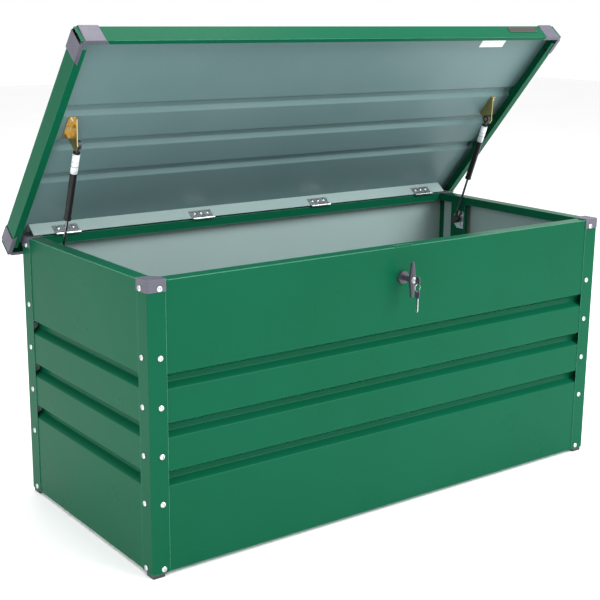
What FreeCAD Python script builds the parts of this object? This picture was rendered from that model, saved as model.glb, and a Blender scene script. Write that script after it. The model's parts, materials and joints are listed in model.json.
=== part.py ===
import FreeCAD, Part
import os
import re
import Sketcher
from FreeCAD import Placement, Rotation, Vector

# Sheet-metal deck storage box with a lid held open by two gas struts, in millimetres.
# X runs to the right, Y to the back and Z up. The origin is on the floor under the middle of the body.
# "inset" is a distance inwards from the outer face of the corner posts.

SIZES = {
    # body
    "body_width": (1261, "outside of the corner posts"),
    "body_depth": (562, "outside of the corner posts"),
    "body_height": (596, "post bottom to the top of the post caps"),
    "foot_height": (9, "feet under the posts"),
    "foot_side": (28, "square foot"),
    "foot_inset": (2, "foot to the post's outer faces"),
    "post_flange": (40, "each leg of a corner post"),
    "post_wall": (1.5, "corner post sheet"),
    "post_bend": (3, "outer bend radius of a post"),
    "sheet_gap": (0.1, "between two sheets that lie on each other"),
    "panel_wall": (1.0, "wall panel sheet"),
    "groove_depth": (18, "pressed groove, inwards"),
    "groove_mouth": (31, "groove width at the panel face"),
    "groove_floor": (12, "groove width at its floor"),
    "groove_pitch": (99, "groove to groove"),
    "groove_middle": (294, "middle groove above the post bottom"),
    "corner_gap": (0.5, "front groove to the side panel's edge"),
    "rail_width": (30, "top rail, across"),
    "rail_leg": (20, "top rail, inner leg"),
    "rail_wall": (1.0, "top rail sheet"),
    "cap_wall": (1.5, "post cap side wall"),
    "cap_top": (2.6, "post cap top plate"),
    "cap_height": (24, "post cap"),
    "cap_bevel": (16, "inner corner cut of a post cap"),
    "floor_wall": (1.0, "floor sheet"),
    "floor_rib": (6, "floor rib height"),
    "angle_leg": (14, "floor angle legs"),
    # screws
    "screw_inset": (25.7, "wall screws from the post's outer face"),
    "screw_low": (8.6, "lowest wall screw above the post bottom"),
    "cap_screw_drop": (18, "post cap screw below the cap's top"),
    "screw_radius": (2.95, "wall screw shank"),
    "screw_length": (10, "wall screw shank"),
    "screw_head": (6, "wall screw head radius"),
    "screw_dome": (3.2, "wall screw head height"),
    "hole_radius": (3.2, "hole for a wall screw"),
    "nut_bore": (3.0, "wall nut bore radius"),
    "nut_radius": (4.6, "wall nut corner radius"),
    "nut_height": (4, "wall nut"),
    "small_radius": (1.95, "small screw shank"),
    "small_length": (8, "small screw shank"),
    "small_head": (3.9, "small screw head radius"),
    "small_dome": (1.8, "small screw head height"),
    "small_hole": (2.15, "hole for a small screw"),
    "small_nut_bore": (2.0, "small nut bore radius"),
    "small_nut": (3.7, "small nut corner radius"),
    "small_nut_height": (3, "small nut"),
    # lid, measured with the lid closed
    "lid_side": (29.5, "lid's ends beyond the body's sides"),
    "lid_front": (28, "lid's front edge ahead of the body"),
    "lid_back": (30, "lid's rear edge behind the body"),
    "lid_clear": (9, "lid rim above the post caps, closed"),
    "lid_rim": (40.4, "rim height"),
    "lid_wall": (1.2, "rim sheet"),
    "lid_flange": (22, "rim's top flange"),
    "lid_lip": (10, "front rim's bottom lip"),
    "lid_side_lip": (18, "side rim's bottom lip"),
    "lid_sheet": (1.0, "lid panel sheet"),
    "lid_rib": (8, "lid rib height"),
    "lid_rib_clear": (1.0, "lid rib top below the rim's top flange"),
    "lid_open": (50, "opening angle"),
    "lid_cap_arm": (64, "corner cap arm"),
    "lid_cap_width": (25, "corner cap arm, across"),
    "lid_cap_wall": (2.0, "corner cap wall"),
    "lid_cap_bevel": (11, "corner cap's outer corner cut"),
    "lid_cap_fit": (0.2, "corner cap to rim"),
    "lid_cap_foot": (8, "corner cap's lip under the rim"),
    # hinges
    "hinge_inset": (36, "hinge axis from the rear face"),
    "hinge_end": (96.5, "end hinges from the body's sides"),
    "hinge_length": (60, "one hinge"),
    "hinge_leaf": (1.5, "leaf sheet"),
    "hinge_reach": (26, "leaf beyond the axis"),
    "hinge_barrel": (3.2, "knuckle radius"),
    "hinge_pin": (1.5, "hinge pin radius"),
    "hinge_fit": (0.05, "pin to knuckle, on the radius"),
    "hinge_split": (0.3, "knuckle to knuckle"),
    "hinge_screws": (18, "screw to screw on a leaf"),
    "hinge_row": (16, "screw row from the axis"),
    "angle_foot": (5, "hinge angle's lower edge above the axis"),
    "angle_flange": (24, "hinge angle's upper flange"),
    "angle_side": (45, "hinge angle's end to the lid's side"),
    # gas struts
    "strut_inset": (41, "strut axis from the side face"),
    "strut_foot": (105, "lower pivot ahead of the rear face"),
    "strut_foot_up": (530, "lower pivot above the post bottom"),
    "strut_length": (301, "pivot to pivot, lid open"),
    "strut_lean": (20.4, "lean to the front, lid open"),
    "strut_tube": (7.5, "cylinder radius"),
    "strut_bore": (6.6, "cylinder bore radius"),
    "strut_rod": (3.0, "rod radius"),
    "strut_rod_fit": (0.05, "rod to its guide, on the radius"),
    "strut_piston": (6.2, "piston radius"),
    "strut_start": (125, "cylinder's lower end above the lower pivot"),
    "strut_guide": (8, "cylinder end thickness"),
    "socket_radius": (10, "ball socket"),
    "socket_width": (9, "ball socket, across"),
    "socket_neck": (4.4, "socket neck radius"),
    "socket_stem": (26, "lower socket, pivot to rod"),
    "socket_top_stem": (16, "upper socket, pivot to cylinder"),
    "stud_radius": (4, "pivot stud"),
    "stud_fit": (0.05, "stud to socket, on the radius"),
    "stud_clear": (0.3, "lower stud to its bracket"),
    "channel_width": (54, "side channel under a lower bracket"),
    "channel_wall": (1.5, "side channel sheet"),
    "channel_gap": (0.2, "channel to the top rail's leg"),
    "bracket_wall": (2, "strut bracket plate"),
    "bracket_low_height": (48, "lower bracket"),
    "bracket_low_front": (24, "lower bracket ahead of the pivot"),
    "bracket_low_back": (12, "lower bracket behind the pivot"),
    "bracket_screw_ahead": (17, "lower bracket screws ahead of the pivot"),
    "bracket_screw_rise": (12, "lower bracket screws above and below it"),
    "bracket_ahead": (50, "upper bracket ahead of its stud"),
    "bracket_eye": (11, "upper bracket round its stud"),
    "bracket_flange": (14, "upper bracket's flange under the panel"),
    "bracket_toe": (8, "upper bracket's height at its front end"),
    "bracket_margin": (8, "upper bracket's first screw from its end"),
    "bracket_pitch": (22, "upper bracket, screw to screw"),
    # lock
    "lock_up": (525, "lock axis above the post bottom"),
    "lock_plate_width": (50, "plate behind the lock"),
    "lock_plate_wall": (1.5, "plate behind the lock"),
    "lock_plate_drop": (40, "plate below the lock axis"),
    "lock_plate_rise": (3.6, "plate above the top rail"),
    "lock_slot": (17, "slot in the top rail, inset of its back edge"),
    "lock_collar": (14, "collar radius"),
    "lock_collar_wall": (6, "collar thickness"),
    "lock_barrel": (9, "barrel radius"),
    "lock_bore": (4.05, "barrel bore radius"),
    "lock_hole": (9.2, "hole in the panel"),
    "lock_nut_radius": (14, "barrel nut corner radius"),
    "lock_nut_height": (4, "barrel nut"),
    "spindle_radius": (4.0, "spindle in the barrel"),
    "spindle_tail": (4, "spindle behind the cam"),
    "cam_wall": (2.5, "cam plate"),
    "cam_arm": (16, "cam arm width"),
    "cam_clear": (0.3, "cam to barrel"),
    "cam_reach": (58, "cam tip from the axis"),
    "cam_throat": (49, "cam hook's inner face from the axis"),
    "cam_hook": (15, "cam hook past the axis"),
    "cam_back": (14, "cam's straight edge from the axis"),
    "neck_radius": (6, "handle neck"),
    "neck_gap": (0.3, "handle neck to collar"),
    "handle_out": (27, "back of the handle bar ahead of the panel"),
    "handle_wall": (11, "handle bar thickness"),
    "handle_half": (40, "half the handle bar"),
    "handle_middle": (8, "half its width in the middle"),
    "handle_tip": (3.5, "half its width at the tips"),
    "plug_radius": (5.5, "key cylinder"),
    "plug_fit": (0.05, "key cylinder to handle, on the radius"),
    "plug_depth": (9, "key cylinder in the handle"),
    "plug_face": (1.0, "key cylinder proud of the handle"),
    "key_shank": (4, "key between cylinder and bow"),
    "key_bow": (10, "half the key bow's height"),
    "key_bow_half": (7, "half the key bow's width"),
    "key_wall": (2.4, "key bow thickness"),
    "key_hole": (2.6, "hole in the bow, radius"),
    "key_hole_drop": (5.5, "hole to the middle of the bow"),
    "ring_radius": (8, "key ring"),
    "ring_wire": (0.8, "key ring wire radius"),
    "ring_gap": (0.3, "ring to the hole it hangs in"),
    "blade_length": (30, "key blade"),
    "blade_width": (6, "key blade"),
    "blade_wall": (1.6, "key blade"),
}

# Places that follow from the sizes.
DERIVED = {
    "post_top": "foot_height + body_height - cap_top",
    "cap_roof": "foot_height + body_height",
    "panel_inset": "post_wall + sheet_gap",
    "panel_top": "post_top - rail_wall - sheet_gap",
    "crest_inset": "panel_inset + groove_depth + panel_wall",
    "groove_run": "(groove_mouth - groove_floor) / 2",
    "groove_shift": "panel_wall * tan(atan(groove_depth / groove_run) / 2)",
    "rail_inset": "panel_inset + rail_width",
    "side_panel_half": "body_depth / 2 - crest_inset - corner_gap",
    "floor_inset": "panel_inset + panel_wall + sheet_gap",
    "floor_bottom": "foot_height + sheet_gap",
    "floor_top": "floor_bottom + floor_wall",
    "floor_shift": "floor_wall * tan(atan(floor_rib / groove_run) / 2)",
    "angle_bottom": "floor_top + sheet_gap",
    "lid_width": "body_width + 2 * lid_side",
    "lid_depth": "body_depth + lid_front + lid_back",
    "rim_bottom": "cap_roof + lid_clear",
    "rim_top": "rim_bottom + lid_rim",
    "lid_front_y": "-body_depth / 2 - lid_front",
    "lid_rear_y": "lid_front_y + lid_depth",
    "lid_middle_y": "lid_front_y + lid_depth / 2",
    "lid_under": "rim_top - lid_wall - lid_rib_clear - lid_rib - lid_sheet",
    "lid_over": "lid_under + lid_sheet",
    "lid_shift": "lid_sheet * tan(atan(lid_rib / groove_run) / 2)",
    "hinge_pitch": "(body_width - 2 * hinge_end) / 3",
    "hinge_y": "body_depth / 2 - hinge_inset",
    "hinge_z": "post_top + hinge_barrel",
    "angle_face_y": "hinge_y + hinge_barrel + sheet_gap",
    "foot_y": "body_depth / 2 - strut_foot",
    "foot_z": "foot_height + strut_foot_up",
    "top_y": "foot_y - strut_length * sin(strut_lean)",
    "top_z": "foot_z + strut_length * cos(strut_lean)",
    "stud_y": "hinge_y + (top_y - hinge_y) * cos(lid_open) - (top_z - hinge_z) * sin(lid_open)",
    "stud_z": "hinge_z + (top_y - hinge_y) * sin(lid_open) + (top_z - hinge_z) * cos(lid_open)",
    "strut_end": "strut_length - socket_top_stem",
    "strut_x": "body_width / 2 - strut_inset",
    "channel_face": "rail_inset - rail_wall - channel_gap",
    "plate_face": "channel_face + sheet_gap + bracket_wall",
    "cheek_face": "strut_inset - socket_width / 2 - stud_clear - bracket_wall",
    "lock_z": "foot_height + lock_up",
    "panel_front_y": "-body_depth / 2 + panel_inset",
    "lock_plate_y": "panel_front_y + panel_wall + sheet_gap",
    "barrel_back_y": "lock_plate_y + lock_plate_wall + lock_nut_height + 2 * sheet_gap",
    "cam_y": "barrel_back_y + cam_clear",
    "collar_y": "panel_front_y - sheet_gap - lock_collar_wall",
    "bar_back_y": "panel_front_y - handle_out",
    "bar_front_y": "bar_back_y - handle_wall",
    "plug_front_y": "bar_front_y - plug_face",
    "bow_y": "plug_front_y - key_shank - key_bow_half",
    "bow_hole_z": "lock_z - key_hole_drop",
    "ring_z": "bow_hole_z - key_hole + ring_gap + 2 * ring_wire - ring_radius",
    "spare_hole_z": "ring_z - ring_radius + 2 * ring_wire + ring_gap - key_hole",
    "spare_z": "spare_hole_z - key_hole_drop",
}

doc = FreeCAD.newDocument("deck_storage_box")
sheet = doc.addObject("Spreadsheet::Sheet", "Sizes")
nodes = []


def fill_sheet():
    for row, (alias, (size, note)) in enumerate(SIZES.items(), start=1):
        sheet.set(f"A{row}", alias)
        sheet.set(f"B{row}", str(size))
        sheet.set(f"C{row}", note)
        sheet.setAlias(f"B{row}", alias)
    doc.recompute()


def ex(text):
    """A formula in size names, written for the expression engine."""
    def swap(found):
        word = found.group(0)
        if word in DERIVED:
            return "(" + ex(DERIVED[word]) + ")"
        return "Sizes." + word if word in SIZES else word
    return re.sub(r"[a-z_]+", swap, str(text))


def num(text):
    return float(sheet.evalExpression(ex(text)))


def bind(thing, **formulas):
    for path, formula in formulas.items():
        thing.setExpression(path.replace("__", "."), ex(formula))


# Turns that lay a sketch's own axes along the box's axes: the outline's two columns, then the pad.
TURNS = {
    "X": Rotation(Vector(1, 1, 1), 120),
    "Y": Rotation(Vector(1, 1, 1), 240),
    "Z": Rotation(),
}


def new_body(name, axis="Z"):
    body = doc.addObject("PartDesign::Body", name)
    body.Placement = Placement(Vector(), TURNS[axis])
    return body


def closed_sketch(body, name, outline, plane="XY_Plane"):
    """A closed outline whose every corner is pinned by two formulas."""
    sketch = body.newObject("Sketcher::SketchObject", name)
    support = [part for part in body.Origin.OriginFeatures if part.Role == plane][0]
    sketch.AttachmentSupport = [(support, "")]
    sketch.MapMode = "FlatFace"
    corners = [Vector(num(across), num(up), 0) for across, up in outline]
    count = len(corners)
    for index in range(count):
        sketch.addGeometry(Part.LineSegment(corners[index], corners[(index + 1) % count]), False)
    for index in range(count):
        sketch.addConstraint(Sketcher.Constraint("Coincident", index, 2, (index + 1) % count, 1))
    for index, (across, up) in enumerate(outline):
        for kind, formula, start in (("DistanceX", across, corners[index].x), ("DistanceY", up, corners[index].y)):
            pin = sketch.addConstraint(Sketcher.Constraint(kind, -1, 1, index, 1, start))
            sketch.setExpression(f"Constraints[{pin}]", ex(formula))
    return sketch


def padded(body, outline, start, length, axis="Z"):
    """Pads an outline along an axis of the box, from start over length."""
    if axis == "Y":
        outline = [(up, across) for across, up in outline]
    order = len(body.Group)
    sketch = closed_sketch(body, f"{body.Name}_outline{order}", outline)
    bind(sketch, AttachmentOffset__Base__z=start)
    pad = body.newObject("PartDesign::Pad", f"{body.Name}_pad{order}")
    pad.Profile = sketch
    bind(pad, Length=length)
    return pad


def sheet_piece(name, axis, outline, start, length):
    body = new_body(name, axis)
    padded(body, outline, start, length, axis)
    return body


def turned(name, outline):
    """A body turned about its own Z axis from an outline of radius and height."""
    body = new_body(name)
    sketch = closed_sketch(body, f"{name}_outline", outline, "XZ_Plane")
    turn = body.newObject("PartDesign::Revolution", f"{name}_turn")
    turn.Profile = sketch
    turn.ReferenceAxis = (sketch, ["V_Axis"])
    turn.Angle = 360
    return body


def rounded(body, pad, radius, picks):
    """Rounds the edges of a pad that pass the test."""
    doc.recompute()
    names = [f"Edge{i}" for i, edge in enumerate(pad.Shape.Edges, start=1) if picks(edge)]
    fillet = body.newObject("PartDesign::Fillet", f"{body.Name}_round")
    fillet.Base = (pad, names)
    bind(fillet, Radius=radius)
    return fillet


def block(name, low, size):
    box = doc.addObject("Part::Box", name)
    bind(box, Length=size[0], Width=size[1], Height=size[2])
    bind(box, Placement__Base__x=low[0], Placement__Base__y=low[1], Placement__Base__z=low[2])
    return box


POINTING = {
    "X": Rotation(Vector(0, 1, 0), 90),
    "Y": Rotation(Vector(1, 0, 0), -90),
    "Z": Rotation(),
}


def rod(name, radius, length, base, axis="Z"):
    bar = doc.addObject("Part::Cylinder", name)
    bar.Placement = Placement(Vector(), POINTING[axis])
    bind(bar, Radius=radius, Height=length)
    bind(bar, Placement__Base__x=base[0], Placement__Base__y=base[1], Placement__Base__z=base[2])
    return bar


def fused(name, pieces):
    joined = doc.addObject("Part::MultiFuse", name)
    joined.Shapes = pieces
    return joined


def cut(name, piece, tools):
    """Takes every tool out of a piece."""
    for index, tool in enumerate(tools):
        taken = doc.addObject("Part::Cut", f"{name}_cut{index}")
        taken.Base = piece
        taken.Tool = tool
        piece = taken
    return piece


def node(label, thing):
    thing.Label = label
    nodes.append(thing)
    return thing


def on_lid(label, thing):
    """Turns a piece that is drawn on the closed lid about the hinge axis, to the open lid."""
    held = doc.addObject("Part::Compound", f"{label}_open")
    held.Links = [thing]
    held.Placement = Placement(Vector(), Rotation(Vector(1, 0, 0), -num("lid_open")))
    bind(
        held,
        Placement__Rotation__Angle="-lid_open",
        Placement__Base__y="hinge_y - hinge_y * cos(lid_open) - hinge_z * sin(lid_open)",
        Placement__Base__z="hinge_z + hinge_y * sin(lid_open) - hinge_z * cos(lid_open)",
    )
    return node(label, held)


def on_strut(label, thing, side):
    """Stands a piece that is drawn from the lower pivot upwards on the strut of one side."""
    held = doc.addObject("Part::Compound", f"{label}_leaning")
    held.Links = [thing]
    held.Placement = Placement(Vector(), Rotation(Vector(1, 0, 0), num("strut_lean")))
    bind(
        held,
        Placement__Rotation__Angle="strut_lean",
        Placement__Base__x=f"{side} * strut_x",
        Placement__Base__y="foot_y",
        Placement__Base__z="foot_z",
    )
    return node(label, held)


# Fasteners: one pattern piece each, copied to every spot.

def screw_pattern(name, radius, length, head, dome):
    """Domed head above its origin, shank below it."""
    return turned(name, [
        ("0", f"-{length}"),
        (radius, f"-{length}"),
        (radius, "0"),
        (head, "0"),
        (head, f"{dome} * 0.35"),
        (f"{head} * 0.75", f"{dome} * 0.8"),
        (f"{head} * 0.4", dome),
        ("0", dome),
    ])


def nut_pattern(name, corner, height, bore):
    hexagon = doc.addObject("Part::Prism", f"{name}_hexagon")
    hexagon.Polygon = 6
    bind(hexagon, Circumradius=corner, Height=height)
    return cut(name, hexagon, [rod(f"{name}_bore", bore, f"{height} + 2", ("0", "0", "-1"))])


def copies(name, pattern, spots):
    """A pattern piece at every spot, its Z axis along the spot's outward direction."""
    shapes = []
    for place, outward in spots:
        shape = pattern.Shape.copy()
        shape.Placement = Placement(place, Rotation(Vector(0, 0, 1), outward)).multiply(shape.Placement)
        shapes.append(shape)
    group = doc.addObject("Part::Feature", name)
    group.Shape = Part.makeCompound(shapes)
    return group


def hole_pins(name, radius, spots, ahead, depth):
    """Cylinders to take out of what a row of screws passes through."""
    pins = []
    for place, outward in spots:
        start = place + outward * ahead
        pins.append(Part.makeCylinder(num(radius), ahead + depth, start, outward * -1))
    group = doc.addObject("Part::Feature", name)
    group.Shape = Part.makeCompound(pins)
    return group


def shifted(spots, distance):
    return [(place + outward * distance, outward) for place, outward in spots]


def wall_spots():
    """Wall screws on both legs of every post, in the plain bands between the grooves."""
    middle = num("foot_height + groove_middle")
    pitch = num("groove_pitch")
    levels = [num("foot_height + screw_low")] + [middle + pitch * step for step in (-1.5, -0.5, 0.5, 1.5)]
    return post_spots(levels, 0)


def post_spots(levels, proud):
    half_x = num("body_width / 2")
    half_y = num("body_depth / 2")
    inset = num("screw_inset")
    spots = []
    for level in levels:
        for side in (-1, 1):
            for end in (-1, 1):
                spots.append((Vector(side * (half_x - inset), end * (half_y + proud), level), Vector(0, end, 0)))
                spots.append((Vector(side * (half_x + proud), end * (half_y - inset), level), Vector(side, 0, 0)))
    return spots


# The body's sheets.

def grooved_outline(face, inwards, low, high):
    """A wall sheet's section: pairs of a place across the wall and a height, grooves pressed inwards."""
    def pair(depth, height):
        return (f"{face} + ({inwards}) * ({depth})", height)
    centres = [f"foot_height + groove_middle + ({step}) * groove_pitch" for step in (-1, 0, 1)]
    front = [pair("0", low)]
    back = [pair("panel_wall", low)]
    for centre in centres:
        for depth, rise in (
            ("0", "-groove_mouth / 2"),
            ("groove_depth", "-groove_floor / 2"),
            ("groove_depth", "groove_floor / 2"),
            ("0", "groove_mouth / 2"),
        ):
            away = "-groove_shift" if rise.startswith("-") else "+ groove_shift"
            front.append(pair(depth, f"{centre} + {rise}"))
            back.append(pair(f"{depth} + panel_wall", f"{centre} + {rise} {away}"))
    front.append(pair("0", high))
    back.append(pair("panel_wall", high))
    return front + back[::-1]


def ribbed_outline(middle, half, bottom, wall, rib, shift):
    """A flat sheet's section across the box, with three ribs pressed upwards."""
    under = [(f"{middle} - ({half})", bottom)]
    over = [(f"{middle} - ({half})", f"{bottom} + {wall}")]
    for step in (-1, 0, 1):
        for run, rise in (
            ("-groove_mouth / 2", "0"),
            ("-groove_floor / 2", rib),
            ("groove_floor / 2", rib),
            ("groove_mouth / 2", "0"),
        ):
            away = f"-{shift}" if run.startswith("-") else f"+ {shift}"
            place = f"{middle} + ({step}) * groove_pitch + {run}"
            under.append((place, f"{bottom} + {rise}"))
            over.append((f"{place} {away}", f"{bottom} + {rise} + {wall}"))
    under.append((f"{middle} + ({half})", bottom))
    over.append((f"{middle} + ({half})", f"{bottom} + {wall}"))
    return under + over[::-1]


def wall_panels(holes, lock_hole):
    long_start = "-body_width / 2 + panel_inset"
    long_length = "body_width - 2 * panel_inset"
    for name, side in (("front_panel", -1), ("rear_panel", 1)):
        face = f"{side} * (body_depth / 2 - panel_inset)"
        section = grooved_outline(face, -side, "foot_height", "panel_top")
        body = sheet_piece(f"{name}_sheet", "X", section, long_start, long_length)
        tools = [holes, lock_hole] if side < 0 else [holes]
        node(name, cut(name, body, tools))
    for name, side in (("left_panel", -1), ("right_panel", 1)):
        face = f"{side} * (body_width / 2 - panel_inset)"
        section = grooved_outline(face, -side, "foot_height", "panel_top")
        body = sheet_piece(f"{name}_sheet", "Y", section, "-side_panel_half", "2 * side_panel_half")
        node(name, cut(name, body, [holes]))


def floor_pieces(holes):
    section = ribbed_outline("0", "body_depth / 2 - floor_inset", "floor_bottom", "floor_wall", "floor_rib",
                             "floor_shift")
    body = sheet_piece("floor_sheet", "X", section, "-body_width / 2 + floor_inset",
                       "body_width - 2 * floor_inset")
    node("floor_panel", cut("floor_panel", body, [holes]))
    angles = []
    for side in (-1, 1):
        face = f"{side} * (body_depth / 2 - floor_inset)"
        inner = f"{side} * (body_depth / 2 - floor_inset - floor_wall)"
        toe = f"{side} * (body_depth / 2 - floor_inset - angle_leg)"
        section = [
            (face, "angle_bottom"), (toe, "angle_bottom"), (toe, "angle_bottom + floor_wall"),
            (inner, "angle_bottom + floor_wall"), (inner, "angle_bottom + angle_leg"),
            (face, "angle_bottom + angle_leg"),
        ]
        angles.append(sheet_piece(f"floor_angle{side + 1}", "X", section,
                                  "-body_width / 2 + post_flange", "body_width - 2 * post_flange"))
    pair = doc.addObject("Part::Compound", "floor_angles")
    pair.Links = angles
    node("floor_angles", pair)


def corners():
    for end_name, end in (("front", -1), ("rear", 1)):
        for side_name, side in (("left", -1), ("right", 1)):
            yield f"{end_name}_{side_name}", side, end


def angle_outline(side, end, outset, leg, wall):
    """An L section at one corner; outset moves its outer faces out from the post's."""
    x0 = f"{side} * (body_width / 2 + {outset})"
    y0 = f"{end} * (body_depth / 2 + {outset})"
    x1 = f"{side} * (body_width / 2 + {outset} - {wall})"
    y1 = f"{end} * (body_depth / 2 + {outset} - {wall})"
    x2 = f"{side} * (body_width / 2 - {leg})"
    y2 = f"{end} * (body_depth / 2 - {leg})"
    return [(x0, y0), (x2, y0), (x2, y1), (x1, y1), (x1, y2), (x0, y2)]


def upright_at(x_formula, y_formula):
    """A test for the upright edge that stands at a corner."""
    x, y = num(x_formula), num(y_formula)
    def picks(edge):
        centre = edge.CenterOfMass
        return abs(centre.x - x) < 0.01 and abs(centre.y - y) < 0.01
    return picks


def posts_and_caps(holes, cap_holes):
    caps = []
    for corner, side, end in corners():
        body = new_body(f"{corner}_post_sheet")
        section = angle_outline(side, end, "0", "post_flange", "post_wall")
        pad = padded(body, section, "foot_height", "post_top - foot_height")
        picks = upright_at(f"{side} * body_width / 2", f"{end} * body_depth / 2")
        rounded(body, pad, "post_bend", picks)
        node(f"{corner}_post", cut(f"{corner}_post", body, [holes, cap_holes]))

        cap = new_body(f"{corner}_cap")
        section = angle_outline(side, end, "cap_wall", "post_flange", "cap_wall")
        padded(cap, section, "cap_roof - cap_height", "cap_height - cap_top")
        roof = padded(cap, cap_roof_outline(side, end), "post_top", "cap_top")
        picks = upright_at(f"{side} * (body_width / 2 + cap_wall)", f"{end} * (body_depth / 2 + cap_wall)")
        rounded(cap, roof, "post_bend + cap_wall", picks)
        caps.append(cut(f"{corner}_cap_bored", cap, [cap_holes]))
    group = doc.addObject("Part::Compound", "post_caps")
    group.Links = caps
    node("post_caps", group)


def cap_roof_outline(side, end):
    x0 = f"{side} * (body_width / 2 + cap_wall)"
    y0 = f"{end} * (body_depth / 2 + cap_wall)"
    x2 = f"{side} * (body_width / 2 - post_flange)"
    y2 = f"{end} * (body_depth / 2 - post_flange)"
    x1 = f"{side} * (body_width / 2 - post_flange + cap_bevel)"
    y1 = f"{end} * (body_depth / 2 - post_flange + cap_bevel)"
    return [(x0, y0), (x2, y0), (x2, y1), (x1, y2), (x0, y2)]


def feet(holes):
    pads = []
    for corner, side, end in corners():
        body = new_body(f"{corner}_foot")
        x0 = f"{side} * (body_width / 2 - foot_inset)"
        x1 = f"{side} * (body_width / 2 - foot_inset - foot_side)"
        y0 = f"{end} * (body_depth / 2 - foot_inset)"
        y1 = f"{end} * (body_depth / 2 - foot_inset - foot_side)"
        pad = padded(body, [(x0, y0), (x1, y0), (x1, y1), (x0, y1)], "0", "foot_height")
        rounded(body, pad, "post_bend", lambda edge: abs(edge.tangentAt(edge.FirstParameter).z) > 0.9)
        pads.append(cut(f"{corner}_foot_bored", body, [holes]))
    group = doc.addObject("Part::Compound", "feet")
    group.Links = pads
    node("feet", group)


def foot_spots():
    """Foot screws point down through the floor, their heads on the floor sheet."""
    inset = num("foot_inset + foot_side / 2")
    half_x = num("body_width / 2") - inset
    half_y = num("body_depth / 2") - inset
    level = num("floor_top")
    return [(Vector(side * half_x, end * half_y, level), Vector(0, 0, 1)) for _, side, end in corners()]


def rail_outline(side, half):
    """A top rail's section: a flange over the wall's top edge and a leg down inside."""
    outer = f"{side} * ({half} - panel_inset)"
    inner = f"{side} * ({half} - rail_inset)"
    web = f"{side} * ({half} - rail_inset + rail_wall)"
    return [
        (outer, "post_top - rail_wall"), (web, "post_top - rail_wall"), (web, "post_top - rail_leg"),
        (inner, "post_top - rail_leg"), (inner, "post_top"), (outer, "post_top"),
    ]


def top_rails(leaf_holes):
    slot = block("lock_slot_cutter",
                 ("-lock_plate_width / 2 - sheet_gap", "-body_depth / 2", "post_top - rail_leg - 1"),
                 ("lock_plate_width + 2 * sheet_gap", "lock_slot", "rail_leg + 2"))
    for name, side, tools in (("front_top_rail", -1, [slot]), ("rear_top_rail", 1, [leaf_holes])):
        body = sheet_piece(f"{name}_sheet", "X", rail_outline(side, "body_depth / 2"),
                           "-body_width / 2 + floor_inset", "body_width - 2 * floor_inset")
        node(name, cut(name, body, tools))
    for name, side in (("left_top_rail", -1), ("right_top_rail", 1)):
        half = "(body_depth / 2 - rail_inset - sheet_gap)"
        body = sheet_piece(f"{name}_sheet", "Y", rail_outline(side, "body_width / 2"), f"-{half}", f"2 * {half}")
        node(name, body)


# The lid, drawn closed.

def lid_rail_outline(face, inwards, lip):
    """A rim section: wall, top flange with a leg down to the panel, and a bottom lip where there is one."""
    def at(depth):
        return f"{face} + ({inwards}) * ({depth})"
    section = [
        (at("0"), "rim_bottom"), (at("0"), "rim_top"), (at("lid_flange"), "rim_top"),
        (at("lid_flange"), "lid_over + sheet_gap"), (at("lid_flange - lid_wall"), "lid_over + sheet_gap"),
        (at("lid_flange - lid_wall"), "rim_top - lid_wall"), (at("lid_wall"), "rim_top - lid_wall"),
    ]
    if lip:
        section += [
            (at("lid_wall"), "rim_bottom + lid_wall"), (at(lip), "rim_bottom + lid_wall"),
            (at(lip), "rim_bottom"),
        ]
    else:
        section.append((at("lid_wall"), "rim_bottom"))
    return section


def lid_sheets(holes):
    half = "(lid_depth / 2 - lid_wall - sheet_gap)"
    section = ribbed_outline("lid_middle_y", half, "lid_under", "lid_sheet", "lid_rib", "lid_shift")
    panel = sheet_piece("lid_panel_sheet", "X", section, "-lid_width / 2 + lid_wall + sheet_gap",
                        "lid_width - 2 * lid_wall - 2 * sheet_gap")
    on_lid("lid_panel", cut("lid_panel_bored", panel, [holes]))
    for name, face, inwards, lip in (
        ("lid_front_rail", "lid_front_y", 1, "lid_lip"),
        ("lid_rear_rail", "lid_rear_y", -1, None),
    ):
        body = sheet_piece(f"{name}_sheet", "X", lid_rail_outline(face, inwards, lip), "-lid_width / 2", "lid_width")
        on_lid(name, body)
    start = "lid_front_y + lid_flange + sheet_gap"
    length = "lid_depth - 2 * (lid_flange + sheet_gap)"
    for name, side in (("lid_left_rail", -1), ("lid_right_rail", 1)):
        section = lid_rail_outline(f"{side} * lid_width / 2", -side, "lid_side_lip")
        body = sheet_piece(f"{name}_sheet", "Y", section, start, length)
        rib_slots = lid_rib_slots(name, side)
        on_lid(name, cut(name, body, rib_slots))


def lid_rib_slots(name, side):
    """Notches in a side rail's leg, where the panel's ribs run under it."""
    low_x = "-lid_width / 2 + lid_wall" if side < 0 else "lid_width / 2 - lid_flange - 1"
    slots = []
    for step in (-1, 0, 1):
        half = "(groove_mouth / 2 + lid_shift + sheet_gap)"
        low_y = f"lid_middle_y + ({step}) * groove_pitch - {half}"
        slots.append(block(f"{name}_slot{step + 1}", (low_x, low_y, "lid_over"),
                           ("lid_flange - lid_wall + 1", f"2 * {half}", "lid_rib + sheet_gap")))
    return slots


def lid_cap_outline(side, end, wall, width, bevel):
    """The plan of a corner cap, its outer faces outside the rim by wall, its arms width across."""
    def at(along_x, along_y):
        x = f"{side} * (lid_width / 2 + {wall} - ({along_x}))"
        y = f"lid_middle_y + ({end}) * (lid_depth / 2 + {wall} - ({along_y}))"
        return (x, y)
    arm = "lid_cap_arm"
    return [
        at(bevel, "0"), at(f"{arm} - {bevel}", "0"), at(arm, bevel), at(arm, width),
        at(width, width), at(width, arm), at(bevel, arm), at("0", f"{arm} - {bevel}"), at("0", bevel),
    ]


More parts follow.
